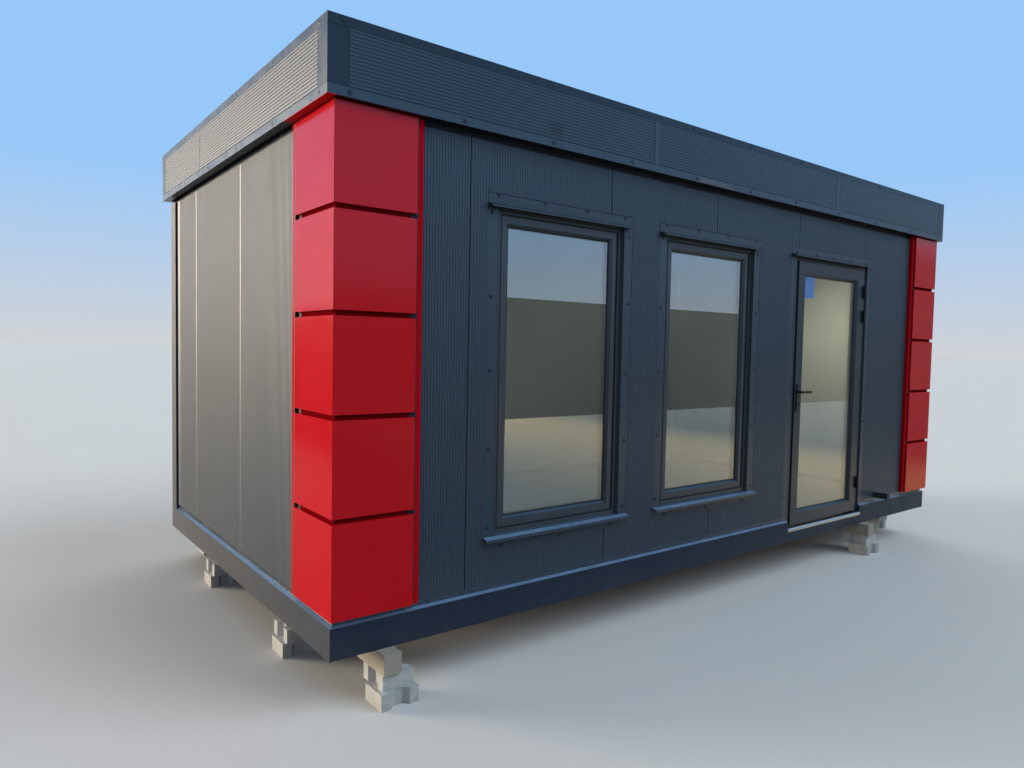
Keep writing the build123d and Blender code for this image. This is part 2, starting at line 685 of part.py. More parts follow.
# Door frame on its threshold
with BuildPart() as door_threshold:
    with BuildSketch(Plane((door_left, 0, 0), x_dir=(0, 1, 0), z_dir=(1, 0, 0))):
        with BuildLine():
            Polyline((RAIL_WIDTH - half_width, notch_floor), (RAIL_WIDTH - half_width, deck_top),
                     (-leaf_back + LEAF_GAP, deck_top), (-leaf_back + LEAF_GAP, threshold_top),
                     (-half_width, threshold_top),
                     (-half_width - THRESHOLD_NOSE, threshold_top - THRESHOLD_NOSE),
                     (-half_width - THRESHOLD_NOSE, notch_floor), close=True)
        make_face()
    extrude(amount=DOOR_FRAME_WIDTH)
save(door_threshold, "door_threshold")

with BuildPart() as door_frame:
    block((door_left, door_right), (-door_frame_front, -door_frame_back),
          (threshold_top, door_head))
    block((door_left + DOOR_FRAME_FACE, door_right - DOOR_FRAME_FACE),
          (-door_frame_front, -leaf_back + LEAF_GAP),
          (threshold_top, door_head - DOOR_FRAME_FACE), mode=Mode.SUBTRACT)
    block((door_left + DOOR_FRAME_FACE + DOOR_STOP, door_right - DOOR_FRAME_FACE - DOOR_STOP),
          (-door_frame_front, -door_frame_back),
          (threshold_top, door_head - DOOR_FRAME_FACE - DOOR_STOP), mode=Mode.SUBTRACT)
    block((door_left, door_right), (-leaf_back + LEAF_GAP, -door_frame_back),
          (threshold_top, deck_top), mode=Mode.SUBTRACT)
save(door_frame, "door_frame")

# Door leaf, glass and lock
handle_x = leaf_left + HANDLE_INSET
handle_z = leaf_foot + HANDLE_HEIGHT
leaf_middle = (leaf_back + wall_y) / 2
leaf_low = (leaf_left + LEAF_FACE, leaf_foot + LEAF_FACE)
leaf_high = (leaf_right - LEAF_FACE, leaf_top - LEAF_FACE)
half_glass = GLASS_THICKNESS / 2
glass_limits = ((leaf_low[0] - GLASS_GROOVE, leaf_high[0] + GLASS_GROOVE),
                (-leaf_middle - half_glass, half_glass - leaf_middle),
                (leaf_low[1] - GLASS_GROOVE, leaf_high[1] + GLASS_GROOVE))


def through(x, z, radius, outer, inner, mode=Mode.ADD):
    """A round bar or hole along the leaf's thickness, between two distances to the front."""
    with Locations(Plane((x, -outer, z), z_dir=(0, 1, 0))):
        Cylinder(radius, outer - inner, align=(Align.CENTER, Align.CENTER, PUT), mode=mode)


with BuildPart() as door_leaf:
    block((leaf_left, leaf_right), (-wall_y, -leaf_back), (leaf_foot, leaf_top))
    block((leaf_low[0], leaf_high[0]), (-wall_y, -leaf_back), (leaf_low[1], leaf_high[1]),
          mode=Mode.SUBTRACT)
    block(*glass_limits, mode=Mode.SUBTRACT)
    through(handle_x, handle_z, SPINDLE_RADIUS + SPINDLE_CLEARANCE, wall_y, leaf_back,
            mode=Mode.SUBTRACT)
    through(handle_x, handle_z - LOCK_CYLINDER_DROP, LOCK_CYLINDER_RADIUS, wall_y, leaf_back,
            mode=Mode.SUBTRACT)
save(door_leaf, "door_leaf")

with BuildPart() as door_glass:
    block(*glass_limits)
save(door_glass, "door_glass")

with BuildPart() as door_lock:
    plate_z = handle_z + (LOCK_PLATE_ABOVE - LOCK_PLATE_BELOW) / 2
    for face in (-wall_y - LOCK_PLATE_DEPTH, -leaf_back):
        with BuildSketch(Plane((handle_x, face, plate_z), x_dir=(1, 0, 0), z_dir=(0, 1, 0))):
            RectangleRounded(LOCK_PLATE_WIDTH, LOCK_PLATE_ABOVE + LOCK_PLATE_BELOW,
                             LOCK_PLATE_CORNER)
        extrude(amount=LOCK_PLATE_DEPTH)
    through(handle_x, handle_z - LOCK_CYLINDER_DROP, LOCK_CYLINDER_RADIUS,
            wall_y + 2 * LOCK_PLATE_DEPTH, leaf_back - 2 * LOCK_PLATE_DEPTH)
    through(handle_x, handle_z, LEVER_NECK_RADIUS + SPINDLE_CLEARANCE,
            wall_y + LOCK_PLATE_DEPTH, leaf_back - LOCK_PLATE_DEPTH, mode=Mode.SUBTRACT)
save(door_lock, "door_lock")

# Lever handle: one lever each side on a spindle through the leaf
lever_outer = wall_y + LEVER_STANDOFF
lever_inner = leaf_back - LEVER_STANDOFF

with BuildPart() as door_handle:
    through(handle_x, handle_z, SPINDLE_RADIUS, lever_outer, lever_inner)
    through(handle_x, handle_z, LEVER_NECK_RADIUS, lever_outer, wall_y + LEVER_NECK_GAP)
    through(handle_x, handle_z, LEVER_NECK_RADIUS, leaf_back - LEVER_NECK_GAP, lever_inner)
    for face in (-lever_outer - LEVER_THICKNESS, -lever_inner):
        with BuildSketch(Plane((handle_x, face + LEVER_THICKNESS, handle_z), x_dir=(1, 0, 0),
                               z_dir=(0, -1, 0))):
            with Locations(((LEVER_LENGTH - LEVER_HEIGHT) / 2, 0)):
                SlotOverall(LEVER_LENGTH, LEVER_HEIGHT)
        extrude(amount=LEVER_THICKNESS)
    lever_faces = door_handle.faces().sort_by(Axis.Y)
    fillet(lever_faces[0].edges() + lever_faces[-1].edges(), radius=LEVER_EDGE)
save(door_handle, "door_handle")

# Door hinges: frame half with the pin, leaf half with the bored knuckle
hinge_x = leaf_right + HINGE_INSET
hinge_y = -wall_y - HINGE_STANDOFF
half_hinge = (HINGE_LENGTH - HINGE_KNUCKLE_GAP) / 2
top_hinge = leaf_top - HINGE_TOP_DROP - HINGE_LENGTH
hinge_feet = (leaf_foot + HINGE_FOOT_HEIGHT, top_hinge - HINGE_PAIR_PITCH, top_hinge)

with BuildPart() as door_hinge_brackets:
    for foot in hinge_feet:
        with Locations((hinge_x, hinge_y, foot)):
            Cylinder(HINGE_RADIUS, half_hinge, align=(Align.CENTER, Align.CENTER, PUT))
            Cylinder(HINGE_PIN_RADIUS, HINGE_LENGTH - HINGE_WING,
                     align=(Align.CENTER, Align.CENTER, PUT))
        block((hinge_x + HINGE_RADIUS - HINGE_WING, hinge_x + HINGE_RADIUS),
              (hinge_y, -door_frame_front), (foot, foot + half_hinge))
        block((hinge_x + HINGE_RADIUS - HINGE_WING, hinge_x + HINGE_WING_WIDTH),
              (-door_frame_front - HINGE_WING, -door_frame_front), (foot, foot + half_hinge))
save(door_hinge_brackets, "door_hinge_brackets")

with BuildPart() as door_hinge_leaves:
    for foot in hinge_feet:
        low = foot + HINGE_LENGTH - half_hinge
        with Locations((hinge_x, hinge_y, low)):
            Cylinder(HINGE_RADIUS, half_hinge, align=(Align.CENTER, Align.CENTER, PUT))
        block((hinge_x - HINGE_RADIUS, hinge_x - HINGE_RADIUS + HINGE_WING),
              (hinge_y, -wall_y), (low, low + half_hinge))
        block((hinge_x - HINGE_WING_WIDTH, hinge_x - HINGE_RADIUS + HINGE_WING),
              (-wall_y - HINGE_WING, -wall_y), (low, low + half_hinge))
        with Locations((hinge_x, hinge_y, low)):
            Cylinder(HINGE_PIN_RADIUS + HINGE_BORE_CLEARANCE, half_hinge - HINGE_WING,
                     align=(Align.CENTER, Align.CENTER, PUT), mode=Mode.SUBTRACT)
save(door_hinge_leaves, "door_hinge_leaves")

# Capped pipe stub through the wall beside the door
with BuildPart() as service_pipe:
    through(pipe_x, pipe_z, PIPE_RADIUS, wall_y + PIPE_PROJECTION, inner_y)
    through(pipe_x, pipe_z, PIPE_RADIUS + PIPE_CAP_RIM, wall_y + PIPE_PROJECTION,
            wall_y + PIPE_PROJECTION - PIPE_CAP_LENGTH)
save(service_pipe, "service_pipe")

# Piers: a timber bearer on two notched concrete pavers, the upper one turned a quarter
timber_height = PIER_HEIGHT - 2 * PAVER_HEIGHT
timber_y = half_width + TIMBER_NOSE - TIMBER_LENGTH / 2
lower_y = half_width + LOWER_PAVER_NOSE - PAVER_WIDTH / 2
upper_y = half_width + UPPER_PAVER_NOSE - PAVER_LENGTH / 2
pier_xs = (LEFT_PIER_INSET - half_length, half_length - RIGHT_PIER_INSET)
left_end_x = LEFT_END_PIER_INSET - half_length
right_end_x = half_length - RIGHT_END_PIER_INSET
end_places = [(left_end_x, side * LEFT_END_PIER_SPACING / 2) for side in (-1, 1)]
end_places += [(right_end_x, side * RIGHT_END_PIER_SPACING / 2) for side in (-1, 1)]

with BuildPart() as pier_timbers:
    with BuildSketch(Plane.XY.offset(2 * PAVER_HEIGHT)):
        with Locations(*[(x, side * timber_y) for x in pier_xs for side in (-1, 1)]):
            Rectangle(TIMBER_WIDTH, TIMBER_LENGTH)
        with Locations(*end_places):
            Rectangle(TIMBER_WIDTH, END_TIMBER_LENGTH)
    extrude(amount=timber_height)
save(pier_timbers, "pier_timbers")


def pavers(level, y, turn):
    """One notched paver under each bearer, on one level of the stacks, turned by an angle."""
    middles = [(x + PAVER_SHIFT, side * y) for x in pier_xs for side in (-1, 1)]
    with BuildSketch(Plane.XY.offset(level * PAVER_HEIGHT)) as section:
        for place in middles + end_places:
            with Locations(Location(place, turn)):
                Rectangle(PAVER_LENGTH, PAVER_WIDTH)
                for side in (-1, 1):
                    Polygon((-PAVER_NOTCH_MOUTH / 2, side * PAVER_WIDTH / 2),
                            (PAVER_NOTCH_MOUTH / 2, side * PAVER_WIDTH / 2),
                            (PAVER_NOTCH_FLOOR / 2, side * (PAVER_WIDTH / 2 - PAVER_WAIST)),
                            (-PAVER_NOTCH_FLOOR / 2, side * (PAVER_WIDTH / 2 - PAVER_WAIST)),
                            align=None, mode=Mode.SUBTRACT)
    extrude(section.sketch, amount=PAVER_HEIGHT)


with BuildPart() as pier_lower_pavers:
    pavers(0, lower_y, 0)
save(pier_lower_pavers, "pier_lower_pavers")

with BuildPart() as pier_upper_pavers:
    pavers(1, upper_y, 90)
save(pier_upper_pavers, "pier_upper_pavers")
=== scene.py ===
"""Looks of the portable site cabin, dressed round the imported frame.

Metres, in the frame's own axes: +X along the front, -Y out of the front, +Z up from the ground.
"""

import json
import math
import random

import bmesh
import bpy
from mathutils import Matrix, Vector


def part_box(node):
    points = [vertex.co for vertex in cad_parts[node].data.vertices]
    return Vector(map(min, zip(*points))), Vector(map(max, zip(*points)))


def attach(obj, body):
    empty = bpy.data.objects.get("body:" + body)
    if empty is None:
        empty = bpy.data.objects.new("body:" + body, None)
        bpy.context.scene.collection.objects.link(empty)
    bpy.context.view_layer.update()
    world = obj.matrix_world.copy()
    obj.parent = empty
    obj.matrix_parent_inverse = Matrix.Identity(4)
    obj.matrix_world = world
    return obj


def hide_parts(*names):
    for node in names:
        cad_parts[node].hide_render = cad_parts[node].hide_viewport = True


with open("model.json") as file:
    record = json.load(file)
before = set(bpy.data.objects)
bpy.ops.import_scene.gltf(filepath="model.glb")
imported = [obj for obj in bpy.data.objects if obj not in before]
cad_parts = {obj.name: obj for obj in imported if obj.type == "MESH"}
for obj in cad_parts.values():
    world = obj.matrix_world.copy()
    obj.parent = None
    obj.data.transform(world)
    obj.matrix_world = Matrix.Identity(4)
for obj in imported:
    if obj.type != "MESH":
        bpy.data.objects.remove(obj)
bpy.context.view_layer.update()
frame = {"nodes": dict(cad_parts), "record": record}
random.seed(4)

BODY = "cabin"
DOOR = "door"
MM = 0.001


# Meshes
class Mould:
    """Collects points and faces for one piece."""

    def __init__(self):
        self.points = []
        self.faces = []

    def add(self, points, faces):
        """Points, and faces numbered from the first of them."""
        base = len(self.points)
        self.points += [tuple(p) for p in points]
        self.faces += [tuple(base + i for i in face) for face in faces]

    def box(self, low, high):
        """A box between two corners."""
        x, y, z = zip(low, high)
        self.add([(x[i], y[j], z[k]) for i in (0, 1) for j in (0, 1) for k in (0, 1)],
                 [(0, 1, 3, 2), (4, 6, 7, 5), (0, 4, 5, 1), (2, 3, 7, 6), (0, 2, 6, 4),
                  (1, 5, 7, 3)])

    def disc(self, centre, normal, rings, sides=10):
        """A turned solid on a normal: rings of (radius, height), with flat ends."""
        normal = Vector(normal).normalized()
        side = normal.orthogonal().normalized()
        other = normal.cross(side)
        centre = Vector(centre)
        points = []
        for radius, height in rings:
            for step in range(sides):
                turn = 2 * math.pi * step / sides
                around = side * math.cos(turn) + other * math.sin(turn)
                points.append(centre + around * radius + normal * height)
        faces = []
        for ring in range(len(rings) - 1):
            for step in range(sides):
                after = (step + 1) % sides
                low = ring * sides
                high = low + sides
                faces.append((low + step, low + after, high + after, high + step))
        top = (len(rings) - 1) * sides
        faces.append(tuple(top + step for step in range(sides)))
        faces.append(tuple(range(sides)))
        self.add(points, faces)

    def frame(self, middle, width, height, section):
        """Mitred bars round an upright rectangle. section lists (inset, y) from its edge."""
        x, z = middle
        corners = ((-1, -1), (1, -1), (1, 1), (-1, 1))
        points = []
        for sx, sz in corners:
            for inset, y in section:
                points.append((x + sx * (width / 2 - inset), y, z + sz * (height / 2 - inset)))
        count = len(section)
        faces = []
        for corner in range(4):
            here = corner * count
            there = (corner + 1) % 4 * count
            for step in range(count):
                after = (step + 1) % count
                faces.append((here + step, there + step, there + after, here + after))
        self.add(points, faces)

    def build(self, name, material):
        """The collected points and faces as an object in the scene."""
        mesh = bpy.data.meshes.new(name)
        mesh.from_pydata(self.points, [], self.faces)
        mesh.materials.append(material)
        made = bpy.data.objects.new(name, mesh)
        bpy.context.scene.collection.objects.link(made)
        return made

    def make(self, name, material, body=BODY, smooth=False, bevel=0):
        """The object as a piece that rides on a body, with its faces turned outward."""
        piece = self.build(name, material)
        turned = bmesh.new()
        turned.from_mesh(piece.data)
        bmesh.ops.recalc_face_normals(turned, faces=turned.faces)
        turned.to_mesh(piece.data)
        turned.free()
        for face in piece.data.polygons:
            face.use_smooth = smooth
        if bevel:
            soften(piece, bevel)
        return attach(piece, body)


SHARP_ANGLE = math.radians(40)


def soften(piece, width, segments=2, bend=None):
    """Rounds a piece's sharp edges, and gives the bends a material if one is given."""
    edge = piece.modifiers.new("edge", "BEVEL")
    edge.width = width
    edge.segments = segments
    edge.limit_method = "ANGLE"
    edge.angle_limit = SHARP_ANGLE
    edge.use_clamp_overlap = True
    edge.harden_normals = False
    if bend is not None:
        piece.data.materials.append(bend)
        edge.material = len(piece.data.materials) - 1


# Materials
class Look:
    """A principled material and short ways to build its procedural parts."""

    def __init__(self, name, rough, metallic=0.0, **sockets):
        self.material = bpy.data.materials.new(name)
        self.material.use_nodes = True
        self.tree = self.material.node_tree
        self.shader = self.tree.nodes["Principled BSDF"]
        self.shader.inputs["Roughness"].default_value = rough
        self.shader.inputs["Metallic"].default_value = metallic
        for socket, value in sockets.items():
            self.shader.inputs[socket.replace("_", " ")].default_value = value
        self.place = self.node("ShaderNodeTexCoord").outputs["Object"]

    def node(self, kind, **settings):
        """A new node with some of its settings."""
        made = self.tree.nodes.new(kind)
        for key, value in settings.items():
            setattr(made, key, value)
        return made

    def link(self, source, target):
        """An output joined to an input."""
        self.tree.links.new(source, target)

    def noise(self, scale, detail=4.0, stretch=(1, 1, 1), rough=0.5):
        """Noise in the object's own space, stretched by a factor on each axis."""
        mapping = self.node("ShaderNodeMapping")
        mapping.inputs["Scale"].default_value = stretch
        self.link(self.place, mapping.inputs["Vector"])
        texture = self.node("ShaderNodeTexNoise")
        texture.inputs["Scale"].default_value = scale
        texture.inputs["Detail"].default_value = detail
        texture.inputs["Roughness"].default_value = rough
        self.link(mapping.outputs["Vector"], texture.inputs["Vector"])
        return texture.outputs["Fac"]

    def axis(self, name):
        """One object coordinate."""
        split = self.node("ShaderNodeSeparateXYZ")
        self.link(self.place, split.inputs["Vector"])
        return split.outputs[name]

    def mottle(self, scale, detail, to_low=0.0, to_high=1.0):
        """Soft patches that run from one value to another."""
        return self.range(self.noise(scale, detail), 0.3, 0.7, to_low, to_high)

    def range(self, value, low, high, to_low=0.0, to_high=1.0):
        """A value carried from one range to another, clamped."""
        remap = self.node("ShaderNodeMapRange")
        for socket, number in (("From Min", low), ("From Max", high), ("To Min", to_low),
                               ("To Max", to_high)):
            remap.inputs[socket].default_value = number
        self.link(value, remap.inputs["Value"])
        return remap.outputs["Result"]

    def math(self, operation, first, second):
        """Two values, or a value and a number, through one operation."""
        node = self.node("ShaderNodeMath", operation=operation)
        for socket, value in zip(node.inputs, (first, second)):
            if isinstance(value, (int, float)):
                socket.default_value = value
            else:
                self.link(value, socket)
        return node.outputs["Value"]

    def size(self, value):
        """A value without its sign."""
        return self.math("ABSOLUTE", value, 0.0)

    def blend(self, share, first, second):
        """A colour between two, each a colour or an output."""
        node = self.node("ShaderNodeMix", data_type="RGBA")
        self.link(share, node.inputs["Factor"])
        for socket, value in ((node.inputs["A"], first), (node.inputs["B"], second)):
            if isinstance(value, tuple):
                socket.default_value = (*value, 1)
            else:
                self.link(value, socket)
        return node.outputs["Result"]

    def facing(self):
        """The parts of the surface's direction along each axis."""
        split = self.node("ShaderNodeSeparateXYZ")
        self.link(self.node("ShaderNodeNewGeometry").outputs["Normal"], split.inputs["Vector"])
        return split.outputs

    def colour(self, output):
        """The output that gives the base colour."""
        self.link(output, self.shader.inputs["Base Color"])

    def rough(self, output):
        """The output that gives the roughness."""
        self.link(output, self.shader.inputs["Roughness"])

    def bump(self, height, distance, strength=1.0, under=None):
        """Relief from a height, on top of an earlier relief if one is given."""
        node = self.node("ShaderNodeBump")
        node.inputs["Strength"].default_value = strength
        node.inputs["Distance"].default_value = distance
        self.link(height, node.inputs["Height"])
        if under is not None:
            self.link(under, node.inputs["Normal"])
        self.link(node.outputs["Normal"], self.shader.inputs["Normal"])
        return node.outputs["Normal"]


# Colours, and the main planes of the frame
ANTHRACITE = (0.025, 0.044, 0.072)
ANTHRACITE_LIGHT = (0.028, 0.047, 0.076)
FRAME_BLUE = (0.003, 0.012, 0.033)
DUST = (0.30, 0.27, 0.23)
INSIDE_WHITE = (0.22, 0.21, 0.18)
INSIDE_CREAM = (0.80, 0.75, 0.60)
SMUDGE_TONE = (0.008, 0.014, 0.022)
BARE_TONE = (0.105, 0.088, 0.078)
PAINTED_SHADE_BLACK = (0.002, 0.002, 0.003)
STRIP_WIDTH = 0.0375
STRIP_X = -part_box("left_casing_backing")[1].x + STRIP_WIDTH
STRIP_Y = -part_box("left_casing_backing")[1].y + STRIP_WIDTH
GROUND_TO_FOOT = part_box("base_front_rail")[0].z
WALL_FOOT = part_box("front_wall_right")[0].z
WALL_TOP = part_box("front_wall_right")[1].z
FRONT = -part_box("front_wall_right")[0].y
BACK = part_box("back_wall")[1].y
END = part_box("end_walls")[1].x
WALL_MIDDLE = 0.05
GABLE_DEPTH = 0.12
SOFFIT_END = END + 0.026
# Patches on the front: x, z, half the width, half the height
SMUDGE = (-1.755, 2.885, 0.075, 0.060)
BARE_TRIM = (-0.385, 2.803, 0.215, 0.015)


def dusty(look, base, foot, reach, amount):
    """The base colour with dust that fades out upward from a height."""
    fade = look.range(look.axis("Z"), foot, foot + reach, 1.0, 0.0)
    patches = look.range(look.noise(38.0, 8.0, rough=0.65), 0.35, 0.75)
    share = look.math("MULTIPLY", look.math("MULTIPLY", fade, patches), amount)
    return look.blend(share, base, DUST)


def rough_patch(look, x, z, half_width, half_height, ragged):
    """A share that is one inside a rough rectangle on the front, and nought outside it."""
    across = look.size(look.math("SUBTRACT", look.axis("X"), x))
    upward = look.size(look.math("SUBTRACT", look.axis("Z"), z))
    reach = look.math("MAXIMUM", look.math("DIVIDE", across, half_width),
                      look.math("DIVIDE", upward, half_height))
    wander = look.math("MULTIPLY", look.noise(22.0, 3.0), ragged)
    inside = look.range(look.math("ADD", reach, wander), 0.8, 1.2, 1.0, 0.0)
    return look.math("MULTIPLY", inside, look.math("LESS_THAN", look.axis("Y"), 0.0))


def sheet_paint(name, rough=0.52, wave=0.0006, inside=False, gloss=0.72):
    """Satin anthracite sheet: slow ripples, fine grain, a smudge, and dust towards the foot.

    It is smoother on the long sides. With inside, its inner faces show the lining's colours.
    """
    look = Look(name, rough, Specular_IOR_Level=gloss)
    tone = look.blend(look.mottle(1.3, 3.0), ANTHRACITE, ANTHRACITE_LIGHT)
    stain = look.math("MULTIPLY", rough_patch(look, *SMUDGE, ragged=0.9), 0.6)
    tone = look.blend(stain, tone, SMUDGE_TONE)
    shown = dusty(look, tone, WALL_FOOT, 0.35, 0.06)
    if inside:
        from_middle = look.size(look.axis("X"))
        across = look.math("LESS_THAN", from_middle, END - WALL_MIDDLE)
        along = look.math("LESS_THAN", look.size(look.axis("Y")), FRONT - WALL_MIDDLE)
        room = look.math("MULTIPLY", across, along)
        gable = look.math("GREATER_THAN", from_middle, END - GABLE_DEPTH)
        shown = look.blend(room, shown, look.blend(gable, INSIDE_WHITE, INSIDE_CREAM))
    look.colour(shown)
    uneven = look.mottle(5.0, 5.0, rough - 0.015, rough + 0.02)
    long_side = look.math("GREATER_THAN", look.size(look.facing()["Y"]), 0.7)
    look.rough(look.math("SUBTRACT", uneven, look.math("MULTIPLY", long_side, 0.14)))
    ripple = look.bump(look.noise(1.1, 0.0, (1, 1, 0.5)), wave, 0.5)
    look.bump(look.noise(900.0, 2.0), 0.00004, 0.3, ripple)
    return look.material


wall_paint = sheet_paint("wall paint", inside=True)
rib_paint = sheet_paint("ribbed sheet paint")
fascia_paint = sheet_paint("fascia sheet paint", 0.46, gloss=0.62)
lip_paint = sheet_paint("joint lip paint", 0.44)
flashing_paint = sheet_paint("flashing paint", 0.45, 0.0016)


def frame_paint():
    """Thick dark blue paint on the steel frame, with dust along its foot."""
    look = Look("frame paint", 0.50, Specular_IOR_Level=0.5)
    tone = look.blend(look.mottle(2.0, 4.0), FRAME_BLUE, (0.007, 0.016, 0.035))
    look.colour(dusty(look, tone, GROUND_TO_FOOT, 0.16, 0.06))
    look.rough(look.mottle(9.0, 5.0, 0.48, 0.58))
    look.bump(look.noise(260.0, 2.0), 0.0002, 0.3)
    return look.material


def red_paint(name, colour, deep):
    """Gloss red: a slow ripple in the sheet and a faint haze of dust."""
    look = Look(name, 0.14, Specular_IOR_Level=0.36)
    tone = look.blend(look.mottle(1.7, 3.0), colour, deep)
    haze = look.math("MULTIPLY", look.range(look.noise(30.0, 8.0), 0.5, 0.85), 0.008)
    look.colour(look.blend(haze, tone, DUST))
    look.rough(look.mottle(6.0, 3.0, 0.13, 0.16))
    look.bump(look.noise(1.6, 0.0), 0.0010, 0.5)
    return look.material


def backing_look():
    """The casing's backing: red on its edge strips, and darker red at the bottom of the grooves,
    which is painted shade.
    """
    look = Look("casing backing", 0.45, Specular_IOR_Level=0.0)
    across = look.math("LESS_THAN", look.size(look.axis("X")), STRIP_X)
    along = look.math("LESS_THAN", look.size(look.axis("Y")), STRIP_Y)
    # Darker red away from the edge strips is painted shade in the grooves.
    tone = look.blend(look.math("MAXIMUM", across, along), (0.14, 0.0015, 0.004),
                      (0.50, 0.003, 0.011))
    shade_and_wear = look.range(look.noise(25.0, 5.0), 0.35, 0.7, 0.0, 0.25)
    look.colour(look.blend(shade_and_wear, tone, (0.12, 0.002, 0.004)))
    look.bump(look.noise(2.0, 1.0), 0.0008, 0.5)
    return look.material


def soffit_look():
    """Red soffit: gloss at the ends, and near black on the long sides where it closes the gap,
    which is painted shade.
    """
    look = Look("casing soffit", 0.35, Specular_IOR_Level=0.1)
    end_part = look.math("GREATER_THAN", look.size(look.axis("X")), SOFFIT_END)
    # The near-black red on the long sides is painted shade under the fascia.
    shade_and_wear = look.blend(look.mottle(20.0, 5.0), (0.020, 0.001, 0.002), (0.028, 0.001, 0.002))
    look.colour(look.blend(end_part, shade_and_wear, (0.46, 0.003, 0.007)))
    look.bump(look.noise(3.0, 1.0), 0.0008, 0.4)
    return look.material


def trim_paint(name, tones, wave, gloss=0.65, side=None, top=(0.075, 0.125, 0.195)):
    """Bent trim: hand-made waves along it, painted light on the faces that look up, and painted
    shade under its folds.

    With side, the faces towards the ends get a lighter colour of their own, a painted highlight.
    """
    look = Look(name, 0.34, Specular_IOR_Level=gloss)
    tone = look.blend(look.mottle(2.3, 3.0), *tones)
    bare = look.math("MULTIPLY", rough_patch(look, *BARE_TRIM, ragged=0.4), 0.7)
    tone = look.blend(bare, tone, BARE_TONE)
    normal = look.facing()
    # The faces that look up take top: by default a painted reflection of the sky.
    tone = look.blend(look.math("GREATER_THAN", normal["Z"], 0.3), tone, top)
    if side is not None:
        # A lighter colour on the faces towards the ends is a painted highlight.
        lit_end_faces = look.math("GREATER_THAN", look.size(normal["X"]), 0.8)
        tone = look.blend(lit_end_faces, tone, side)
    # Near black under the folds is painted shade.
    look.colour(look.blend(look.math("LESS_THAN", normal["Z"], -0.3), tone, PAINTED_SHADE_BLACK))
    look.rough(look.mottle(12.0, 4.0, 0.26, 0.34))
    look.bump(look.noise(5.5, 1.0), wave, 0.7)
    return look.material


def plain(name, colour, other, rough, grain=60.0, depth=0.0001, metallic=0.0, **sockets):
    """A plain finish whose colour and relief vary a little."""
    look = Look(name, rough, metallic, **sockets)
    look.colour(look.blend(look.mottle(8.0, 4.0), colour, other))
    look.bump(look.noise(grain, 3.0), depth, 0.5)
    return look.material


def brushed(name, colour, rough):
    """Mill-finish metal with lines along X."""
    look = Look(name, rough, 1.0)
    lines = look.noise(40.0, 3.0, (0.2, 12, 12))
    look.colour(look.blend(look.range(lines, 0.3, 0.7), colour,
                           tuple(channel * 0.82 for channel in colour)))
    look.rough(look.range(lines, 0.3, 0.7, rough - 0.08, rough + 0.1))
    look.bump(lines, 0.0001, 0.4)
    return look.material


def timber_look():
    """Weathered sawn softwood: grain along Y, and grey in patches."""
    look = Look("timber", 0.75)
    grain = look.noise(14.0, 6.0, (9, 0.5, 9), 0.6)
    fine = look.noise(60.0, 4.0, (6, 0.25, 6))
    tone = look.blend(look.range(grain, 0.32, 0.68), (0.36, 0.325, 0.27), (0.25, 0.225, 0.19))
    tone = look.blend(look.range(look.noise(4.0, 3.0), 0.45, 0.7, 0.0, 0.55), tone,
                      (0.36, 0.35, 0.335))
    look.colour(tone)
    under = look.bump(grain, 0.0012, 0.6)
    look.bump(fine, 0.0006, 0.6, under)
    return look.material


def concrete_look():
    """Pale cast concrete: sand grain, pits, and dust near the ground."""
    look = Look("concrete", 0.85)
    tone = look.blend(look.mottle(18.0, 6.0), (0.50, 0.51, 0.51), (0.38, 0.39, 0.40))
    speckle = look.range(look.noise(420.0, 2.0), 0.6, 0.72)
    tone = look.blend(speckle, tone, (0.24, 0.24, 0.235))
    look.colour(dusty(look, tone, 0.0, 0.07, 0.5))
    under = look.bump(look.noise(45.0, 6.0), 0.003, 0.6)
    look.bump(look.noise(300.0, 3.0), 0.0012, 0.6, under)
    return look.material


def roof_look():
    """Pale grey roof sheet with water marks."""
    look = Look("roof sheet", 0.45)
    marks = look.range(look.noise(2.5, 6.0, (1, 0.3, 1)), 0.42, 0.75)
    look.colour(look.blend(marks, (0.42, 0.43, 0.44), (0.30, 0.285, 0.26)))
    look.rough(look.range(marks, 0.0, 1.0, 0.35, 0.6))
    look.bump(look.noise(3.0, 2.0), 0.001, 0.6)
    return look.material


def deck_look():
    """Wood floor boards laid along X."""
    look = Look("floor boards", 0.5)
    bricks = look.node("ShaderNodeTexBrick")
    bricks.offset = 0.4
    for socket, value in (("Scale", 1.0), ("Mortar Size", 0.0018), ("Brick Width", 1.3),
                          ("Row Height", 0.19)):
        bricks.inputs[socket].default_value = value
    bricks.inputs["Color1"].default_value = (0.42, 0.25, 0.11, 1)
    bricks.inputs["Color2"].default_value = (0.36, 0.20, 0.085, 1)
    bricks.inputs["Mortar"].default_value = (0.06, 0.04, 0.025, 1)
    look.link(look.place, bricks.inputs["Vector"])
    grain = look.noise(9.0, 6.0, (0.6, 9, 9))
    share = look.range(grain, 0.35, 0.7, 0.0, 0.5)
    look.colour(look.blend(share, bricks.outputs["Color"], (0.20, 0.13, 0.075)))
    look.bump(grain, 0.0003, 0.4)
    return look.material


def glass_look():
    """Coated glass: a high index for its mirror, and a grey-green tint that varies a little."""
    look = Look("clear glass", 0.0, Transmission_Weight=1.0, IOR=2.5)
    look.colour(look.blend(look.mottle(3.0, 3.0), (0.78, 0.83, 0.82), (0.75, 0.81, 0.80)))
    return look.material


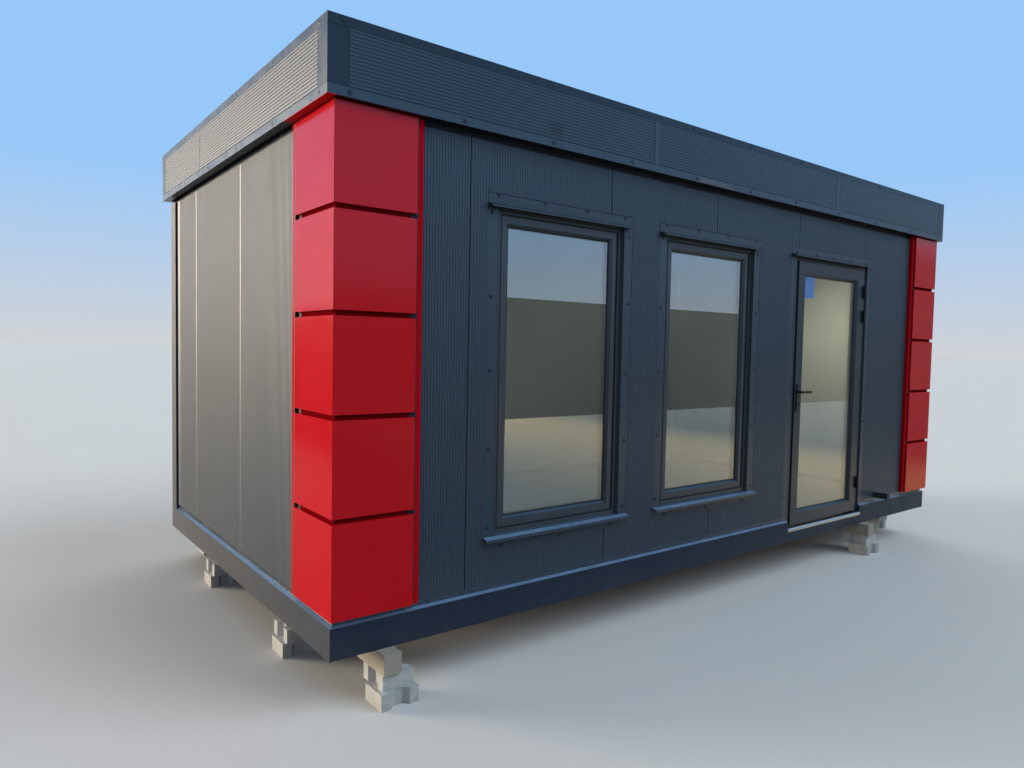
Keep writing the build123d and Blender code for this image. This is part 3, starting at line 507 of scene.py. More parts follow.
def flashing_look():
    """Glossy blue-grey flashing, with a painted reflection of the sky on its slopes, and specks
    of dust.
    """
    look = Look("drip flashing", 0.24, Specular_IOR_Level=0.9)
    tone = look.blend(look.mottle(3.0, 4.0), ANTHRACITE, ANTHRACITE_LIGHT)
    sky_lit_slopes = look.math("GREATER_THAN", look.facing()["Z"], 0.2)
    # The pale blue on the slopes is a painted reflection of the sky.
    pale = look.blend(look.range(look.noise(9.0, 5.0), 0.35, 0.7), (0.13, 0.21, 0.34),
                      (0.105, 0.17, 0.28))
    specks = look.range(look.noise(30.0, 4.0), 0.5, 0.8, 0.0, 0.08)
    look.colour(look.blend(specks, look.blend(sky_lit_slopes, tone, pale), DUST))
    look.rough(look.mottle(6.0, 2.0, 0.24, 0.30))
    look.bump(look.noise(3.0, 0.0), 0.0010, 0.4)
    return look.material


# One finish for each material slot, and others for single nodes and pieces
finish = {
    "frame_steel": frame_paint(),
    "joist_steel": plain("joist paint", (0.05, 0.055, 0.06), (0.09, 0.085, 0.08), 0.5),
    "wall_panel": wall_paint,
    "fascia_panel": rib_paint,
    "flashing": flashing_paint,
    "casing_red": red_paint("casing red", (0.54, 0.0025, 0.012), (0.50, 0.0025, 0.011)),
    "casing_backing": backing_look(),
    "roof_sheet": roof_look(),
    "ceiling": plain("ceiling sheet", (0.60, 0.59, 0.55), (0.57, 0.56, 0.53), 0.4),
    "deck": deck_look(),
    "window_profile": plain("profile foil", (0.016, 0.027, 0.043), (0.020, 0.031, 0.048), 0.30,
                            grain=220.0, Specular_IOR_Level=0.7),
    "glass": glass_look(),
    "handle_black": plain("black handle", (0.012, 0.012, 0.013), (0.02, 0.02, 0.021), 0.35),
    "handle_white": plain("white handle", (0.78, 0.78, 0.77), (0.74, 0.74, 0.73), 0.3),
    "threshold": brushed("threshold aluminium", (0.72, 0.73, 0.74), 0.32),
    "hinge": plain("hinge paint", (0.006, 0.007, 0.009), (0.010, 0.011, 0.013), 0.4),
    "pipe": plain("pipe plastic", (0.012, 0.012, 0.013), (0.022, 0.022, 0.022), 0.45),
    "timber": timber_look(),
    "concrete": concrete_look(),
}
seam_paint = plain("lap shadow", (0.004, 0.005, 0.006), (0.007, 0.008, 0.009), 0.7)
gasket = plain("gasket rubber", (0.006, 0.006, 0.006), (0.012, 0.012, 0.012), 0.6)
spacer = brushed("glass spacer", (0.75, 0.76, 0.77), 0.35)
screw_paint = plain("screw heads", (0.010, 0.016, 0.026), (0.016, 0.022, 0.033), 0.40)

slots = {part["node"]: part["material_slot"] for part in frame["record"]["subparts"]}
for name, node in frame["nodes"].items():
    node.data.materials.clear()
    node.data.materials.append(finish[slots[name]])

lit_flashing = flashing_look()
plain_trim = trim_paint("lapped trim paint", (ANTHRACITE, ANTHRACITE_LIGHT), 0.003)
cap_trim = trim_paint("cap trim paint", ((0.012, 0.024, 0.042), (0.015, 0.028, 0.047)), 0.002,
                      gloss=0.4)
# The head caps' faces that look up are near black: painted shade for the dark band under their
# lips.
head_trim = trim_paint("head cap paint", ((0.036, 0.056, 0.082), (0.042, 0.061, 0.087)), 0.003,
                       gloss=0.4, top=(0.002, 0.003, 0.005))
# The surrounds' reveals get a lighter colour: a painted highlight.
surround_trim = trim_paint("surround paint", (ANTHRACITE, ANTHRACITE_LIGHT), 0.003,
                           side=(0.055, 0.070, 0.092))
# A lighter copy of the profile foil for the frames and sashes: painted light on their recessed
# faces.
lit_window_foil = plain("window foil", (0.032, 0.044, 0.062), (0.037, 0.049, 0.068), 0.30,
                    grain=220.0, Specular_IOR_Level=0.7)
for name, paint in (("drip_flashing", lit_flashing), ("window_sills", lit_flashing),
                    ("head_drip_caps", head_trim), ("opening_surrounds", surround_trim),
                    ("fascia_foot_trim", plain_trim), ("fascia_cap", cap_trim),
                    ("fascia_corner_trims", cap_trim), ("window_frames", lit_window_foil),
                    ("window_sashes", lit_window_foil), ("casing_soffits", soffit_look())):
    frame["nodes"][name].data.materials[0] = paint

# Rounding of the nodes' edges, in millimetres
EDGES = {
    "base_front_rail": 3.5, "base_back_rail": 3.5, "base_end_rails": 1.5, "corner_posts": 3.5,
    "left_casing_backing": 1.2, "right_casing_backing": 1.2, "fascia_cap": 0.8,
    "fascia_foot_trim": 0.8, "fascia_corner_trims": 0.5, "head_drip_caps": 0.6,
    "window_sills": 0.6, "opening_surrounds": 1.0, "drip_flashing": 0.6, "door_leaf": 2.0,
    "door_frame": 2.0, "window_frames": 2.0, "window_sashes": 2.0, "door_lock": 1.2,
    "window_handles": 2.5, "pier_timbers": 4.0, "pier_lower_pavers": 5.0,
    "pier_upper_pavers": 5.0, "service_pipe": 2.0, "door_threshold": 1.0,
    "casing_soffits": 0.6,
}
for name, width in EDGES.items():
    soften(frame["nodes"][name], width * MM)
# The bends' red is lighter and pinker than the casing's: a painted highlight along the folds, on
# a glossier finish.
highlight_bend_red = plain("casing bend red", (0.62, 0.020, 0.034), (0.58, 0.016, 0.030), 0.22,
                 Specular_IOR_Level=0.8)
for name in ("left_casing_cassettes", "right_casing_cassettes"):
    soften(frame["nodes"][name], 3.0 * MM, segments=3, bend=highlight_bend_red)

# Ribbed sheet on the walls and fascia
RIB_PITCH = 1.0 / 60
RIB_PROUD = 2.4 * MM
RIB_FLOOR = 0.2 * MM
RIB_BACK = -0.5 * MM
RIB_SECTION = ((0.0, RIB_FLOOR), (0.18, RIB_FLOOR), (0.28, RIB_PROUD), (0.90, RIB_PROUD))
JOINT_HALF = 3 * MM
SKIRT = 0.037
RIB_FOOT = WALL_FOOT + SKIRT
CASING_REACH = -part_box("left_casing_backing")[1].x
CASING_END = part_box("left_casing_backing")[1].y


def slab(mould, put, section, low, high):
    """A closed bar with one section of (across, proud) points between two heights."""
    size = len(section)
    points = [put(across, height, proud) for height in (low, high) for across, proud in section]
    faces = [(i, (i + 1) % size, size + (i + 1) % size, size + i) for i in range(size)]
    mould.add(points, faces + [tuple(range(size)), tuple(range(size, 2 * size))])


def ribs(mould, put, start, end, runs):
    """A ribbed sheet from start to end, closed behind, along each open run at its middle."""
    count = max(1, round((end - start) / RIB_PITCH))
    pitch = (end - start) / count
    section = [(start + (step + share) * pitch, proud)
               for step in range(count) for share, proud in RIB_SECTION]
    section += [(end, RIB_FLOOR), (end, RIB_BACK), (start, RIB_BACK)]
    for low, high in runs((start + end) / 2):
        slab(mould, put, section, low, high)


def split_at(low, high, joints, edges=(), half=JOINT_HALF):
    """Stretches between two limits, cut at edges, and at joints with a joint's width out."""
    cuts = [(place, 0) for place in edges] + [(place, half) for place in joints]
    cuts = sorted(cut for cut in cuts if low < cut[0] < high)
    places = [(low, 0)] + cuts + [(high, 0)]
    return [(a + gap, b - other) for (a, gap), (b, other) in zip(places, places[1:])]


# Panel joints, a metre apart, and the openings with their trim
FIRST_FRONT_JOINT = -3 + 0.744
FIRST_END_JOINT = -1.518 + 0.375
FRAME_WIDTH = 0.961
front_joints = [FIRST_FRONT_JOINT + n for n in range(6)]
end_joints = [FIRST_END_JOINT + n for n in range(3)]
window_low, window_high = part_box("window_frames")
window_middles = (window_low.x + FRAME_WIDTH / 2, window_high.x - FRAME_WIDTH / 2)
window_centre = (window_low.z + window_high.z) / 2
door_low, door_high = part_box("door_frame")
door_low = Vector((door_low.x, door_low.y, WALL_FOOT))
surround_low, surround_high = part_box("opening_surrounds")
SURROUND = -surround_low.y
WINDOW_REACH = window_middles[0] - surround_low.x
DOOR_REACH = surround_high.x - (door_low.x + door_high.x) / 2
door_middle = surround_high.x - DOOR_REACH
WINDOW_LEG = 0.055
window_trim = (window_low.z - WINDOW_LEG, window_high.z + WINDOW_LEG)
openings = [(middle - WINDOW_REACH, middle + WINDOW_REACH) for middle in window_middles]
openings.append((door_middle - DOOR_REACH, door_middle + DOOR_REACH))
DOOR_CAP_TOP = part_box("head_drip_caps")[1].z
WINDOW_CAP_TOP = DOOR_CAP_TOP - 7 * MM
TRIM_LAPS = (-1.720, -1.400, -0.600, -0.170, 1.620)


def front_runs(place):
    """Open stretches of the front wall's ribs, clear of the trim of the openings."""
    for low, high in openings[:2]:
        if low < place < high:
            return [(RIB_FOOT, window_trim[0]), (window_trim[1], WALL_TOP)]
    if openings[2][0] < place < openings[2][1]:
        return [(surround_high.z, WALL_TOP)]
    return [(RIB_FOOT, WALL_TOP)]


def whole(place):
    """The height of the sheet where nothing interrupts it."""
    return [(RIB_FOOT, WALL_TOP)]


front_sheet = Mould()
for low, high in split_at(-CASING_REACH, CASING_REACH, front_joints,
                          [edge for pair in openings for edge in pair]):
    ribs(front_sheet, lambda u, v, w: (u, -FRONT - w, v), low, high, front_runs)
front_sheet.make("front_wall_ribs", rib_paint)

back_sheet = Mould()
for low, high in split_at(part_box("back_wall")[0].x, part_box("back_wall")[1].x, front_joints):
    ribs(back_sheet, lambda u, v, w: (u, BACK + w, v), low, high, whole)
back_sheet.make("back_wall_ribs", rib_paint)

wall_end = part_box("end_walls")[1].y
COVER = 0.060
COVER_PROUD = 8 * MM
end_sheet = Mould()
for low, high in split_at(CASING_END, wall_end - COVER, end_joints):
    ribs(end_sheet, lambda u, v, w: (-END - w, u, v), low, high, whole)
    ribs(end_sheet, lambda u, v, w: (END + w, u, v), low, high, whole)
end_sheet.make("end_wall_ribs", rib_paint)

# Sloped lips over the end walls' joints, and sloped covers at their back edges
LIP = ((-3 * MM, 0.2 * MM), (-2.5 * MM, 0.5 * MM), (5.5 * MM, 2.6 * MM), (6 * MM, 0.2 * MM),
       (6 * MM, RIB_BACK), (-3 * MM, RIB_BACK))
lips = Mould()
for joint in end_joints:
    for side in (-1, 1):
        section = [(joint + across, proud) for across, proud in LIP]
        slab(lips, lambda u, v, w: (side * (END + w), u, v), section, RIB_FOOT, WALL_TOP)
for side in (-1, 1):
    section = [(wall_end - COVER, RIB_BACK), (wall_end - COVER, RIB_PROUD),
               (wall_end, COVER_PROUD), (wall_end, RIB_BACK)]
    slab(lips, lambda u, v, w: (side * (END + w), u, v), section, RIB_FOOT, WALL_TOP)
lips.make("end_joint_lips", lip_paint)

# Ribs of the fascia, and the covers over its joints
fascia_low, fascia_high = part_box("fascia_cap")
rib_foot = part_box("fascia_corner_trims")[0].z
rib_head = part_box("fascia_corner_trims")[1].z
PANEL_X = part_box("fascia_sides")[1].x
PANEL_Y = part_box("fascia_sides")[1].y
FASCIA_CORNER = 0.100
FASCIA_END_JOINT = 0.486
FASCIA_JOINTS = (-0.950, 1.150)
COVER_HALF = 0.027
COVER_GAP = 0.003


def fascia_runs(reach, joints, half=JOINT_HALF):
    """A function that gives the stretches of a fascia rib between the corners."""
    stretches = split_at(-reach, reach, joints, half=half)
    return lambda place: stretches


fascia_sheet = Mould()
long_reach = fascia_high.x - FASCIA_CORNER
end_reach = fascia_high.y - FASCIA_CORNER
for side in (-1, 1):
    ribs(fascia_sheet, lambda u, v, w: (v, side * (PANEL_Y + w), u), rib_foot, rib_head,
         fascia_runs(long_reach, FASCIA_JOINTS, COVER_HALF))
    ribs(fascia_sheet, lambda u, v, w: (side * (PANEL_X + w), v, u), rib_foot, rib_head,
         fascia_runs(end_reach, (FASCIA_END_JOINT,)))
fascia_sheet.make("fascia_ribs", fascia_paint)
covers = Mould()
for side in (-1, 1):
    for joint in FASCIA_JOINTS:
        y = sorted((side * (PANEL_Y - 1 * MM), side * (PANEL_Y + 3 * MM)))
        covers.box((joint - COVER_HALF + COVER_GAP, y[0], rib_foot),
                   (joint + COVER_HALF - COVER_GAP, y[1], rib_head))
covers.make("fascia_joint_covers", fascia_paint, bevel=1 * MM)

# Shadow lines where one sheet laps another
LAP = 2.5 * MM
FOOT_LAP = 1.4 * MM
LIFT = 0.4 * MM
OUTER_LAP = 5 * MM
CAP_LIP = 4 * MM
DOOR_LEG = 0.067
REVEAL = 0.015
seams = Mould()
for side in (-1, 1):
    for z in (rib_head - LAP, rib_foot):
        wide = LAP if z > rib_foot else FOOT_LAP
        outer = sorted((side * (PANEL_Y + 0.2 * MM), side * (fascia_high.y + LIFT)))
        seams.box((fascia_low.x, outer[0], z), (fascia_high.x, outer[1], z + wide))
        outer = sorted((side * (PANEL_X + 0.2 * MM), side * (fascia_high.x + LIFT)))
        seams.box((outer[0], fascia_low.y, z), (outer[1], fascia_high.y, z + wide))
    for end in (-1, 1):
        x = sorted((end * (long_reach - LAP), end * long_reach))
        y = sorted((side * PANEL_Y, side * (fascia_high.y + LIFT)))
        seams.box((x[0], y[0], rib_foot), (x[1], y[1], rib_head))
        y = sorted((end * (end_reach - LAP), end * end_reach))
        x = sorted((side * PANEL_X, side * (fascia_high.x + LIFT)))
        seams.box((x[0], y[0], rib_foot), (x[1], y[1], rib_head))
trims = (window_trim, window_trim, (RIB_FOOT, surround_high.z))
cap_tops = (WINDOW_CAP_TOP, WINDOW_CAP_TOP, DOOR_CAP_TOP)
for (low, high), (foot, head), cap_top in zip(openings, trims, cap_tops):
    for edge in (low - OUTER_LAP, high):
        seams.box((edge, -SURROUND - LIFT, foot), (edge + OUTER_LAP, -FRONT, head + LAP))
    seams.box((low, -SURROUND - LIFT, head), (high, -FRONT, head + LAP))
    seams.box((low, -SURROUND - 2 * MM, cap_top), (high, -FRONT, cap_top + CAP_LIP))
trim_low, trim_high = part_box("fascia_foot_trim")
for x in TRIM_LAPS:
    seams.box((x, trim_low.y - 0.3 * MM, trim_low.z + 2 * MM),
              (x + 2 * MM, trim_low.y + 1 * MM, trim_high.z))
for side in (-1, 1):
    for joint in FASCIA_JOINTS:
        for edge in (joint - COVER_HALF, joint + COVER_HALF - COVER_GAP):
            y = sorted((side * (PANEL_Y - 1 * MM), side * (PANEL_Y + 0.6 * MM)))
            seams.box((edge, y[0], rib_foot), (edge + COVER_GAP, y[1], rib_head))

# Painted shadow round the edges of the windows' reveals
reveal_width = FRAME_WIDTH - 2 * REVEAL
reveal_height = window_high.z - window_low.z - 2 * REVEAL
EDGE = ((-1.5 * MM, -SURROUND - 0.3 * MM), (0.5 * MM, -SURROUND - 0.3 * MM),
        (0.5 * MM, -SURROUND + 4 * MM), (-1.5 * MM, -SURROUND + 4 * MM))
for middle in window_middles:
    seams.frame((middle, window_centre), reveal_width, reveal_height, EDGE)

# Mitres at the corners of the surrounds
MITRE = 0.9 * MM
corners = []
for middle in window_middles:
    for side in (-1, 1):
        inner_x = middle + side * reveal_width / 2
        outer_x = middle + side * WINDOW_REACH
        corners.append((outer_x, window_trim[0], inner_x, window_centre - reveal_height / 2))
        corners.append((outer_x, window_trim[1], inner_x, window_centre + reveal_height / 2))
for side in (-1, 1):
    corners.append((door_middle + side * DOOR_REACH, surround_high.z,
                    door_middle + side * (DOOR_REACH - DOOR_LEG), surround_high.z - DOOR_LEG))
for outer_x, outer_z, inner_x, inner_z in corners:
    points = [(x, y, z) for y in (-SURROUND - 0.3 * MM, -SURROUND + 0.3 * MM)
              for x, z in ((outer_x - MITRE, outer_z), (outer_x + MITRE, outer_z),
                           (inner_x + MITRE, inner_z), (inner_x - MITRE, inner_z))]
    seams.add(points, [(0, 1, 2, 3), (4, 5, 6, 7), (0, 1, 5, 4), (1, 2, 6, 5), (2, 3, 7, 6),
                       (3, 0, 4, 7)])
seams.make("lap_lines", seam_paint)

# Edge strips of the casings' end legs, and black boxes in the gaps beside the strips and at the
# open ends of the grooves: painted shadow
casing_low, casing_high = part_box("left_casing_cassettes")
backing_low, backing_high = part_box("left_casing_backing")
CASSETTES = 5
GROOVE_HEIGHT = 0.025
GROOVE_BOTTOM = 0.018
TRIM_FACE = 0.015
STRIP_START = 0.010
GAP_WIDTH = 0.0095
FRONT_OPENING = 0.024
END_OPENING = 0.038
grooves = CASSETTES - 1
cassette = (casing_high.z - casing_low.z - grooves * GROOVE_HEIGHT) / CASSETTES
gap_shadow_boxes = Mould()
strips = Mould()
for side in (-1, 1):
    flush = side * -(casing_low.x + 1 * MM)
    face = side * -(casing_low.x + TRIM_FACE)
    x = sorted((flush, face))
    strips.box((x[0], casing_high.y + STRIP_START, backing_low.z),
               (x[1], CASING_END, backing_high.z))
    x = sorted((flush + side * -0.5 * MM, face))
    gap_shadow_boxes.box((x[0], casing_high.y + 0.5 * MM, backing_low.z + 1 * MM),
                (x[1], casing_high.y + GAP_WIDTH, backing_high.z - 1 * MM))
    x = sorted((side * casing_high.x, side * (casing_high.x + TRIM_FACE)))
    gap_shadow_boxes.box((x[0], casing_low.y + TRIM_FACE - 0.6 * MM, backing_low.z + 1 * MM),
                (x[1], casing_low.y + TRIM_FACE + 0.4 * MM, backing_high.z - 1 * MM))
face_x = casing_low.x + GROOVE_BOTTOM
face_y = casing_low.y + GROOVE_BOTTOM
for step in range(grooves):
    foot = casing_low.z + (step + 1) * cassette + step * GROOVE_HEIGHT
    head = foot + GROOVE_HEIGHT
    for side in (-1, 1):
        x = sorted((side * (casing_high.x - FRONT_OPENING), side * casing_high.x))
        gap_shadow_boxes.box((x[0], face_y - 0.5 * MM, foot + 0.5 * MM),
                    (x[1], face_y + 0.5 * MM, head - 0.5 * MM))
        x = sorted((-side * (face_x - 0.5 * MM), -side * (face_x + 0.5 * MM)))
        gap_shadow_boxes.box((x[0], casing_high.y - END_OPENING, foot + 0.5 * MM),
                    (x[1], casing_high.y, head - 0.5 * MM))
gap_shadow_boxes.make("casing_gap_shadows", gasket)
strips.make("casing_edge_strips", finish["casing_red"], bevel=1.5 * MM)

# Screws. The first two values are rings of (radius, height)
SCREW_RINGS = ((13.0 * MM, 0), (10.5 * MM, 1.0 * MM), (7.5 * MM, 0.6 * MM), (5.4 * MM, 0.6 * MM),
               (5.2 * MM, 2.6 * MM), (3.6 * MM, 3.5 * MM), (1.6 * MM, 3.9 * MM))
PLAIN_SCREW = ((5.2 * MM, 0), (5.2 * MM, 1.6 * MM), (3.6 * MM, 2.6 * MM), (1.6 * MM, 3.0 * MM))
FASCIA_PITCH = 0.62
FASCIA_MARGIN = 0.09
CAP_SCREW = fascia_low.z + 0.024
FOOT_SCREW = trim_low.z + 0.021
LEG_MIDDLE = 0.045
FLASH_PITCH = 0.55
FLASH_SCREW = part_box("drip_flashing")[1].z - 0.011
screws = Mould()


def screw(x, y, z, normal, rings=SCREW_RINGS):
    """One screw head at a point, with its axis along a normal."""
    screws.disc((x, y, z), normal, rings)


def spread(low, high, pitch, margin):
    """Places between two limits, about a pitch apart, set in from each end."""
    count = max(1, round((high - low - 2 * margin) / pitch))
    return [low + margin + (high - low - 2 * margin) * step / count
            for step in range(count + 1)]


# Along the fascia's cap and foot trim
for side in (-1, 1):
    for x in spread(-fascia_high.x, fascia_high.x, FASCIA_PITCH, FASCIA_MARGIN):
        shift = random.uniform(-0.03, 0.03)
        screw(x + shift, side * fascia_high.y, CAP_SCREW, (0, side, 0))
        screw(x - shift, side * fascia_high.y, FOOT_SCREW, (0, side, 0))
    for y in spread(-fascia_high.y, fascia_high.y, FASCIA_PITCH, FASCIA_MARGIN):
        screw(side * fascia_high.x, y, CAP_SCREW, (side, 0, 0))
        screw(side * fascia_high.x, y, FOOT_SCREW, (side, 0, 0))

# Along the legs and feet of the windows' surrounds, and along the head caps
for middle in window_middles:
    for side in (-1, 1):
        x = middle + side * (reveal_width / 2 + LEG_MIDDLE)
        for z in spread(window_low.z, window_high.z, pitch=0.42, margin=0.05):
            screw(x, -SURROUND, z + random.uniform(-0.02, 0.02), (0, -1, 0))
    for x in spread(middle - reveal_width / 2, middle + reveal_width / 2, pitch=0.45,
                    margin=0.05):
        screw(x, -SURROUND, window_low.z - LEG_MIDDLE, (0, -1, 0))
for middle, half, top in ((window_middles[0], 0.50, window_high.z + LEG_MIDDLE),
                          (window_middles[1], 0.50, window_high.z + LEG_MIDDLE),
                          ((door_low.x + door_high.x) / 2, 0.56, door_high.z + 5 * MM)):
    for x in spread(middle - half, middle + half, pitch=0.3, margin=0.03):
        screw(x, -SURROUND - 2 * MM, top, (0, -1, 0))

# Along the drip flashing, beside the door, at the ends and at the back
for x in spread(-END, door_low.x, FLASH_PITCH, margin=0.5):
    screw(x, -FRONT - 2 * MM, FLASH_SCREW, (0, -1, 0), PLAIN_SCREW)
for x in spread(door_high.x, END, pitch=0.3, margin=0.15):
    screw(x, -FRONT - 2 * MM, FLASH_SCREW, (0, -1, 0), PLAIN_SCREW)
for side in (-1, 1):
    for y in spread(-0.9, 1.35, pitch=0.5, margin=0.05):
        screw(side * (END + 2 * MM), y, FLASH_SCREW, (side, 0, 0), PLAIN_SCREW)
for x in spread(-END, END, FLASH_PITCH, margin=0.3):
    screw(x, BACK + 2 * MM, FLASH_SCREW, (0, 1, 0), PLAIN_SCREW)
screws.make("trim_screws", screw_paint, smooth=True)

# Glazing: two sheets of glass on a spacer, with gaskets and beads
glass_low, glass_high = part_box("window_panes")
sash_low, sash_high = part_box("window_sashes")
SASH_WIDTH = 0.871
SASH_FACE = 0.042
sash_height = sash_high.z - sash_low.z
sash_centre = (sash_low.z + sash_high.z) / 2
GROOVE = 0.012
SHEET = 0.004
SPACER = 0.0052
BEAD = 0.016
GASKET = 0.007
STEP = 0.0005


def glaze(prefix, middles, width, height, z, outer, inner, face_outer, face_inner, body):
    """Double glazing in openings, with its spacer, gaskets and sloped beads.

    outer and inner are the glass's faces, and face_outer and face_inner those of its frame.
    """
    panes = Mould()
    bars = Mould()
    seals = Mould()
    beads = Mould()
    half_width = width / 2 + GROOVE
    half_height = height / 2 + GROOVE
    for x in middles:
        for low, high in ((outer, outer + SHEET), (inner - SHEET, inner)):
            panes.box((x - half_width, low, z - half_height),
                      (x + half_width, high, z + half_height))
        bars.frame((x, z), width - 2 * MM, height - 2 * MM,
                   ((0, outer + SHEET + STEP), (SPACER, outer + SHEET + STEP),
                    (SPACER, inner - SHEET - STEP), (0, inner - SHEET - STEP)))
        for face, glass, out in ((face_outer, outer, -1), (face_inner, inner, 1)):
            near = glass + out * 3 * MM
            beads.frame((x, z), width + 2 * MM, height + 2 * MM,
                        ((0, face - out * 2 * MM), (3 * MM, face - out * 2 * MM),
                         (BEAD, near + out * 3 * MM), (BEAD, glass + out * STEP),
                         (0, glass + out * STEP)))
            seals.frame((x, z), width - 2 * BEAD + 4 * MM, height - 2 * BEAD + 4 * MM,
                        ((0, near + out * 2 * MM), (GASKET, near),
                         (GASKET, glass + out * STEP), (0, glass + out * STEP)))
    panes.make(prefix + "_glass_sheets", finish["glass"], body)
    bars.make(prefix + "_glass_spacers", spacer, body)
    seals.make(prefix + "_gaskets", gasket, body)
    beads.make(prefix + "_beads", finish["window_profile"], body)


glaze("window", window_middles, SASH_WIDTH - 2 * SASH_FACE, sash_height - 2 * SASH_FACE,
      sash_centre, glass_low.y, glass_high.y, sash_low.y, sash_high.y, BODY)
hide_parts("window_panes")

leaf_low, leaf_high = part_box("door_leaf")
pane_low, pane_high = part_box("door_glass")
leaf_middle = (leaf_low.x + leaf_high.x) / 2
leaf_z = (leaf_low.z + leaf_high.z) / 2
glaze("door", (leaf_middle,), pane_high.x - pane_low.x - 2 * GROOVE,
      pane_high.z - pane_low.z - 2 * GROOVE, leaf_z, pane_low.y, pane_high.y, leaf_low.y,
      leaf_high.y, DOOR)
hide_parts("door_glass")

# A plain blank patch at the top of the door glass
PATCH_WIDTH = 0.155
PATCH_HEIGHT = 0.165
PATCH_FROM_SIDE = 0.012
PATCH_FROM_TOP = 0.020
patch = Mould()
patch_x = leaf_middle - (pane_high.x - pane_low.x) / 2 + GROOVE + PATCH_FROM_SIDE
patch_z = pane_high.z - GROOVE - PATCH_FROM_TOP
patch.box((patch_x, pane_low.y - 0.8 * MM, patch_z - PATCH_HEIGHT),
          (patch_x + PATCH_WIDTH, pane_low.y - 0.2 * MM, patch_z))
patch.make("door_glass_patch", plain("blank film", (0.10, 0.20, 0.52), (0.12, 0.23, 0.56), 0.35),
           DOOR)

# Dark seals where the windows' sashes sit in their frames
SEAL = 8 * MM
sash_seals = Mould()
for x in window_middles:
    sash_seals.frame((x, sash_centre), SASH_WIDTH + SEAL, sash_height + SEAL,
                     ((0, window_low.y - LIFT), (SEAL, window_low.y - LIFT),
                      (SEAL, sash_low.y + 2 * MM), (0, sash_low.y + 2 * MM)))
sash_seals.make("sash_seals", gasket)

# Floor: darker for diffuse light, so that the shaded front keeps its contrast
FLOOR_REACH = 400
FLOOR_DEPTH = 0.02
floor_mesh = Mould()
floor_mesh.box((-FLOOR_REACH, -FLOOR_REACH, -FLOOR_DEPTH), (FLOOR_REACH, FLOOR_REACH, 0))
floor_look = Look("studio floor", 0.95, Specular_IOR_Level=0.1)
pale_floor = floor_look.blend(floor_look.mottle(0.3, 2.0), (0.605, 0.594, 0.590),
                              (0.617, 0.606, 0.602))
seen = floor_look.node("ShaderNodeLightPath").outputs
floor_look.colour(floor_look.blend(seen["Is Diffuse Ray"], pale_floor, (0.27, 0.25, 0.22)))
floor = floor_mesh.build("studio_floor", floor_look.material)


# Lamps
def hang(data, place, towards):
    """A lamp's object at a place, with its light coming from a direction."""
    made = bpy.data.objects.new(data.name, data)
    made.location = place
    made.rotation_euler = Vector(towards).to_track_quat("Z", "Y").to_euler()
    bpy.context.scene.collection.objects.link(made)
    return made


def lamp(name, towards, strength, spread_angle, colour=(1, 1, 1), shine=True):
    """A wide soft light from far off. Without shine, gloss doesn't show it."""
    data = bpy.data.lights.new(name, "SUN")
    data.energy = strength
    data.angle = math.radians(spread_angle)
    data.color = colour
    data.cycles.use_multiple_importance_sampling = False
    made = hang(data, Vector(towards).normalized() * 20, towards)
    made.visible_glossy = shine


lamp("key", (-0.719, 0.695, 0.09), strength=5.9, spread_angle=28, colour=(1.0, 0.84, 0.62))
lamp("front fill", (0.45, -0.55, 0.62), strength=1.65, spread_angle=45,
     colour=(0.74, 0.89, 1.0), shine=False)
lamp("back fill", (0.55, 0.60, 0.60), strength=0.7, spread_angle=60)

# A small lamp inside the room
room_data = bpy.data.lights.new("room", "AREA")
room_data.energy = 5.5
room_data.spread = math.radians(100)
room_data.size = 0.5
room_data.color = (1.0, 0.93, 0.80)
hang(room_data, (1.9, -0.7, 2.4), (-1.0, 0.0, 0.8))

# Cards that stand in for what the glass and the gloss mirror, and the limits along X between
# which a card's other colour fades in and out
CARD_GROUND = ((0.13, 0.12, 0.10), (0.19, 0.17, 0.14))
FADE_IN = (1.0, 5.0)
FADE_OUT = (6.5, 8.5)


def dark_card(name, boxes, low, high, far=None, upright=True):
    """A card of boxes that the camera doesn't see, and only glass and gloss show.

    far is the colour of a stretch along X. An upright card is also seen through the glass.
    """
    mesh = Mould()
    for corner, other in boxes:
        mesh.box(corner, other)
    look = Look(name, 0.9)
    tone = look.blend(look.mottle(0.5, 3.0), low, high)
    if far is not None:
        across = look.axis("X")
        share = look.math("MULTIPLY", look.range(across, *FADE_IN),
                          look.range(across, *FADE_OUT, 1.0, 0.0))
        tone = look.blend(share, tone, far)
    look.colour(tone)
    card = mesh.build(name, look.material)
    card.visible_camera = False
    card.visible_diffuse = False
    card.visible_shadow = False
    card.visible_transmission = upright


dark_card("dark_card", (((-16, -12.1, 0), (16, -12, 2.9)), ((16, -12.1, 0), (34, -12, 6.0))),
          (0.105, 0.132, 0.145), (0.125, 0.152, 0.162))
dark_card("left_card", (((-6.3, 2, 0), (-6.2, 60, 2.25)),), (0.030, 0.034, 0.034),
          (0.045, 0.047, 0.045))
dark_card("left_ground_card", (((-6.2, -6, 0.002), (-3.3, 60, 0.004)),), *CARD_GROUND,
          upright=False)
dark_card("ground_card", (((-16, -12, 0.002), (34, -2.3, 0.004)),), *CARD_GROUND,
          far=(1.0, 0.69, 0.30), upright=False)

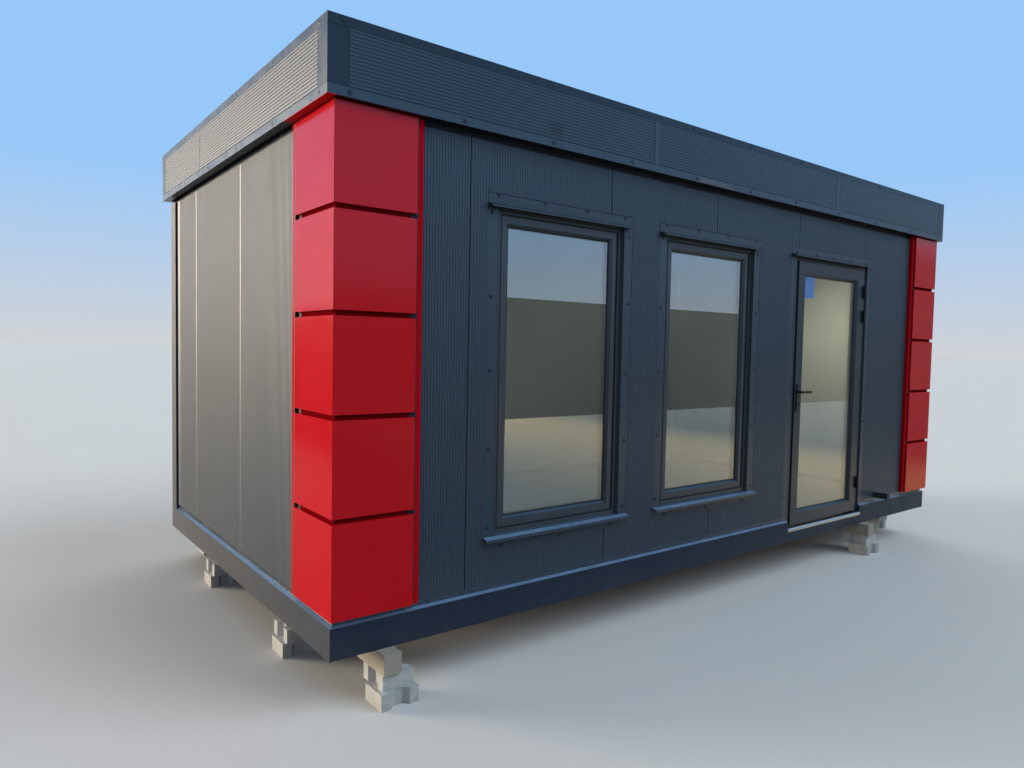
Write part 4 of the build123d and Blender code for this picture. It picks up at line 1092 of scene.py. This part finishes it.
# World: a pale backdrop for the camera, glass and gloss, and a plain light for the rest
LIGHT_BLUE = (0.74, 0.88, 1.0, 1)
LIGHT_STRENGTH = 0.50
HORIZON_BAND = 0.22
world = bpy.data.worlds.new("studio")
bpy.context.scene.world = world
world.use_nodes = True
sky = world.node_tree.nodes
links = world.node_tree.links
light = sky["Background"]
light.inputs["Color"].default_value = LIGHT_BLUE
light.inputs["Strength"].default_value = LIGHT_STRENGTH
where = sky.new("ShaderNodeTexCoord")
height = sky.new("ShaderNodeSeparateXYZ")
links.new(where.outputs["Generated"], height.inputs["Vector"])
climb = sky.new("ShaderNodeMapRange")
climb.inputs["From Min"].default_value = 0.0
climb.inputs["From Max"].default_value = HORIZON_BAND
links.new(height.outputs["Z"], climb.inputs["Value"])


def backdrop(low, high):
    """A background that goes from one colour at the horizon to another higher up."""
    wash = sky.new("ShaderNodeMix")
    wash.data_type = "RGBA"
    wash.inputs["A"].default_value = (*low, 1)
    wash.inputs["B"].default_value = (*high, 1)
    links.new(climb.outputs["Result"], wash.inputs["Factor"])
    made = sky.new("ShaderNodeBackground")
    links.new(wash.outputs["Result"], made.inputs["Color"])
    return made.outputs["Background"]


def instead(share, first, second):
    """One background where a share is nought, and another where it is one."""
    choose = sky.new("ShaderNodeMixShader")
    links.new(share, choose.inputs["Fac"])
    links.new(first, choose.inputs[1])
    links.new(second, choose.inputs[2])
    return choose.outputs["Shader"]


rays = sky.new("ShaderNodeLightPath")
pale = backdrop((0.62, 0.65, 0.68), (0.31, 0.58, 0.95))
whole_sky = light.outputs["Background"]
for kind in ("Is Camera Ray", "Is Transmission Ray", "Is Glossy Ray"):
    whole_sky = instead(rays.outputs[kind], whole_sky, pale)
links.new(whole_sky, sky["World Output"].inputs["Surface"])

# Camera, fitted to the photo
CAMERA_PLACE = Vector((-4.3161, -4.5573, 1.7053))
YAW, PITCH, ROLL = math.radians(52.512), math.radians(-2.859), math.radians(1.098)
FOCAL_PIXELS = 721.53
PHOTO_WIDTH = 1024
ahead = Vector((math.cos(YAW) * math.cos(PITCH), math.sin(YAW) * math.cos(PITCH),
                math.sin(PITCH)))
right = Vector((math.sin(YAW), -math.cos(YAW), 0))
upward = right.cross(ahead)
turned_right = right * math.cos(ROLL) + upward * math.sin(ROLL)
turned_up = upward * math.cos(ROLL) - right * math.sin(ROLL)
camera_data = bpy.data.cameras.new("camera")
camera_data.sensor_width = 36
camera_data.lens = FOCAL_PIXELS / PHOTO_WIDTH * camera_data.sensor_width
camera = bpy.data.objects.new("camera", camera_data)
camera.matrix_world = Matrix(
    [(turned_right[i], turned_up[i], -ahead[i], CAMERA_PLACE[i]) for i in range(3)]
    + [(0, 0, 0, 1)])
bpy.context.scene.collection.objects.link(camera)
bpy.context.scene.camera = camera
bpy.context.scene.view_settings.view_transform = "Standard"
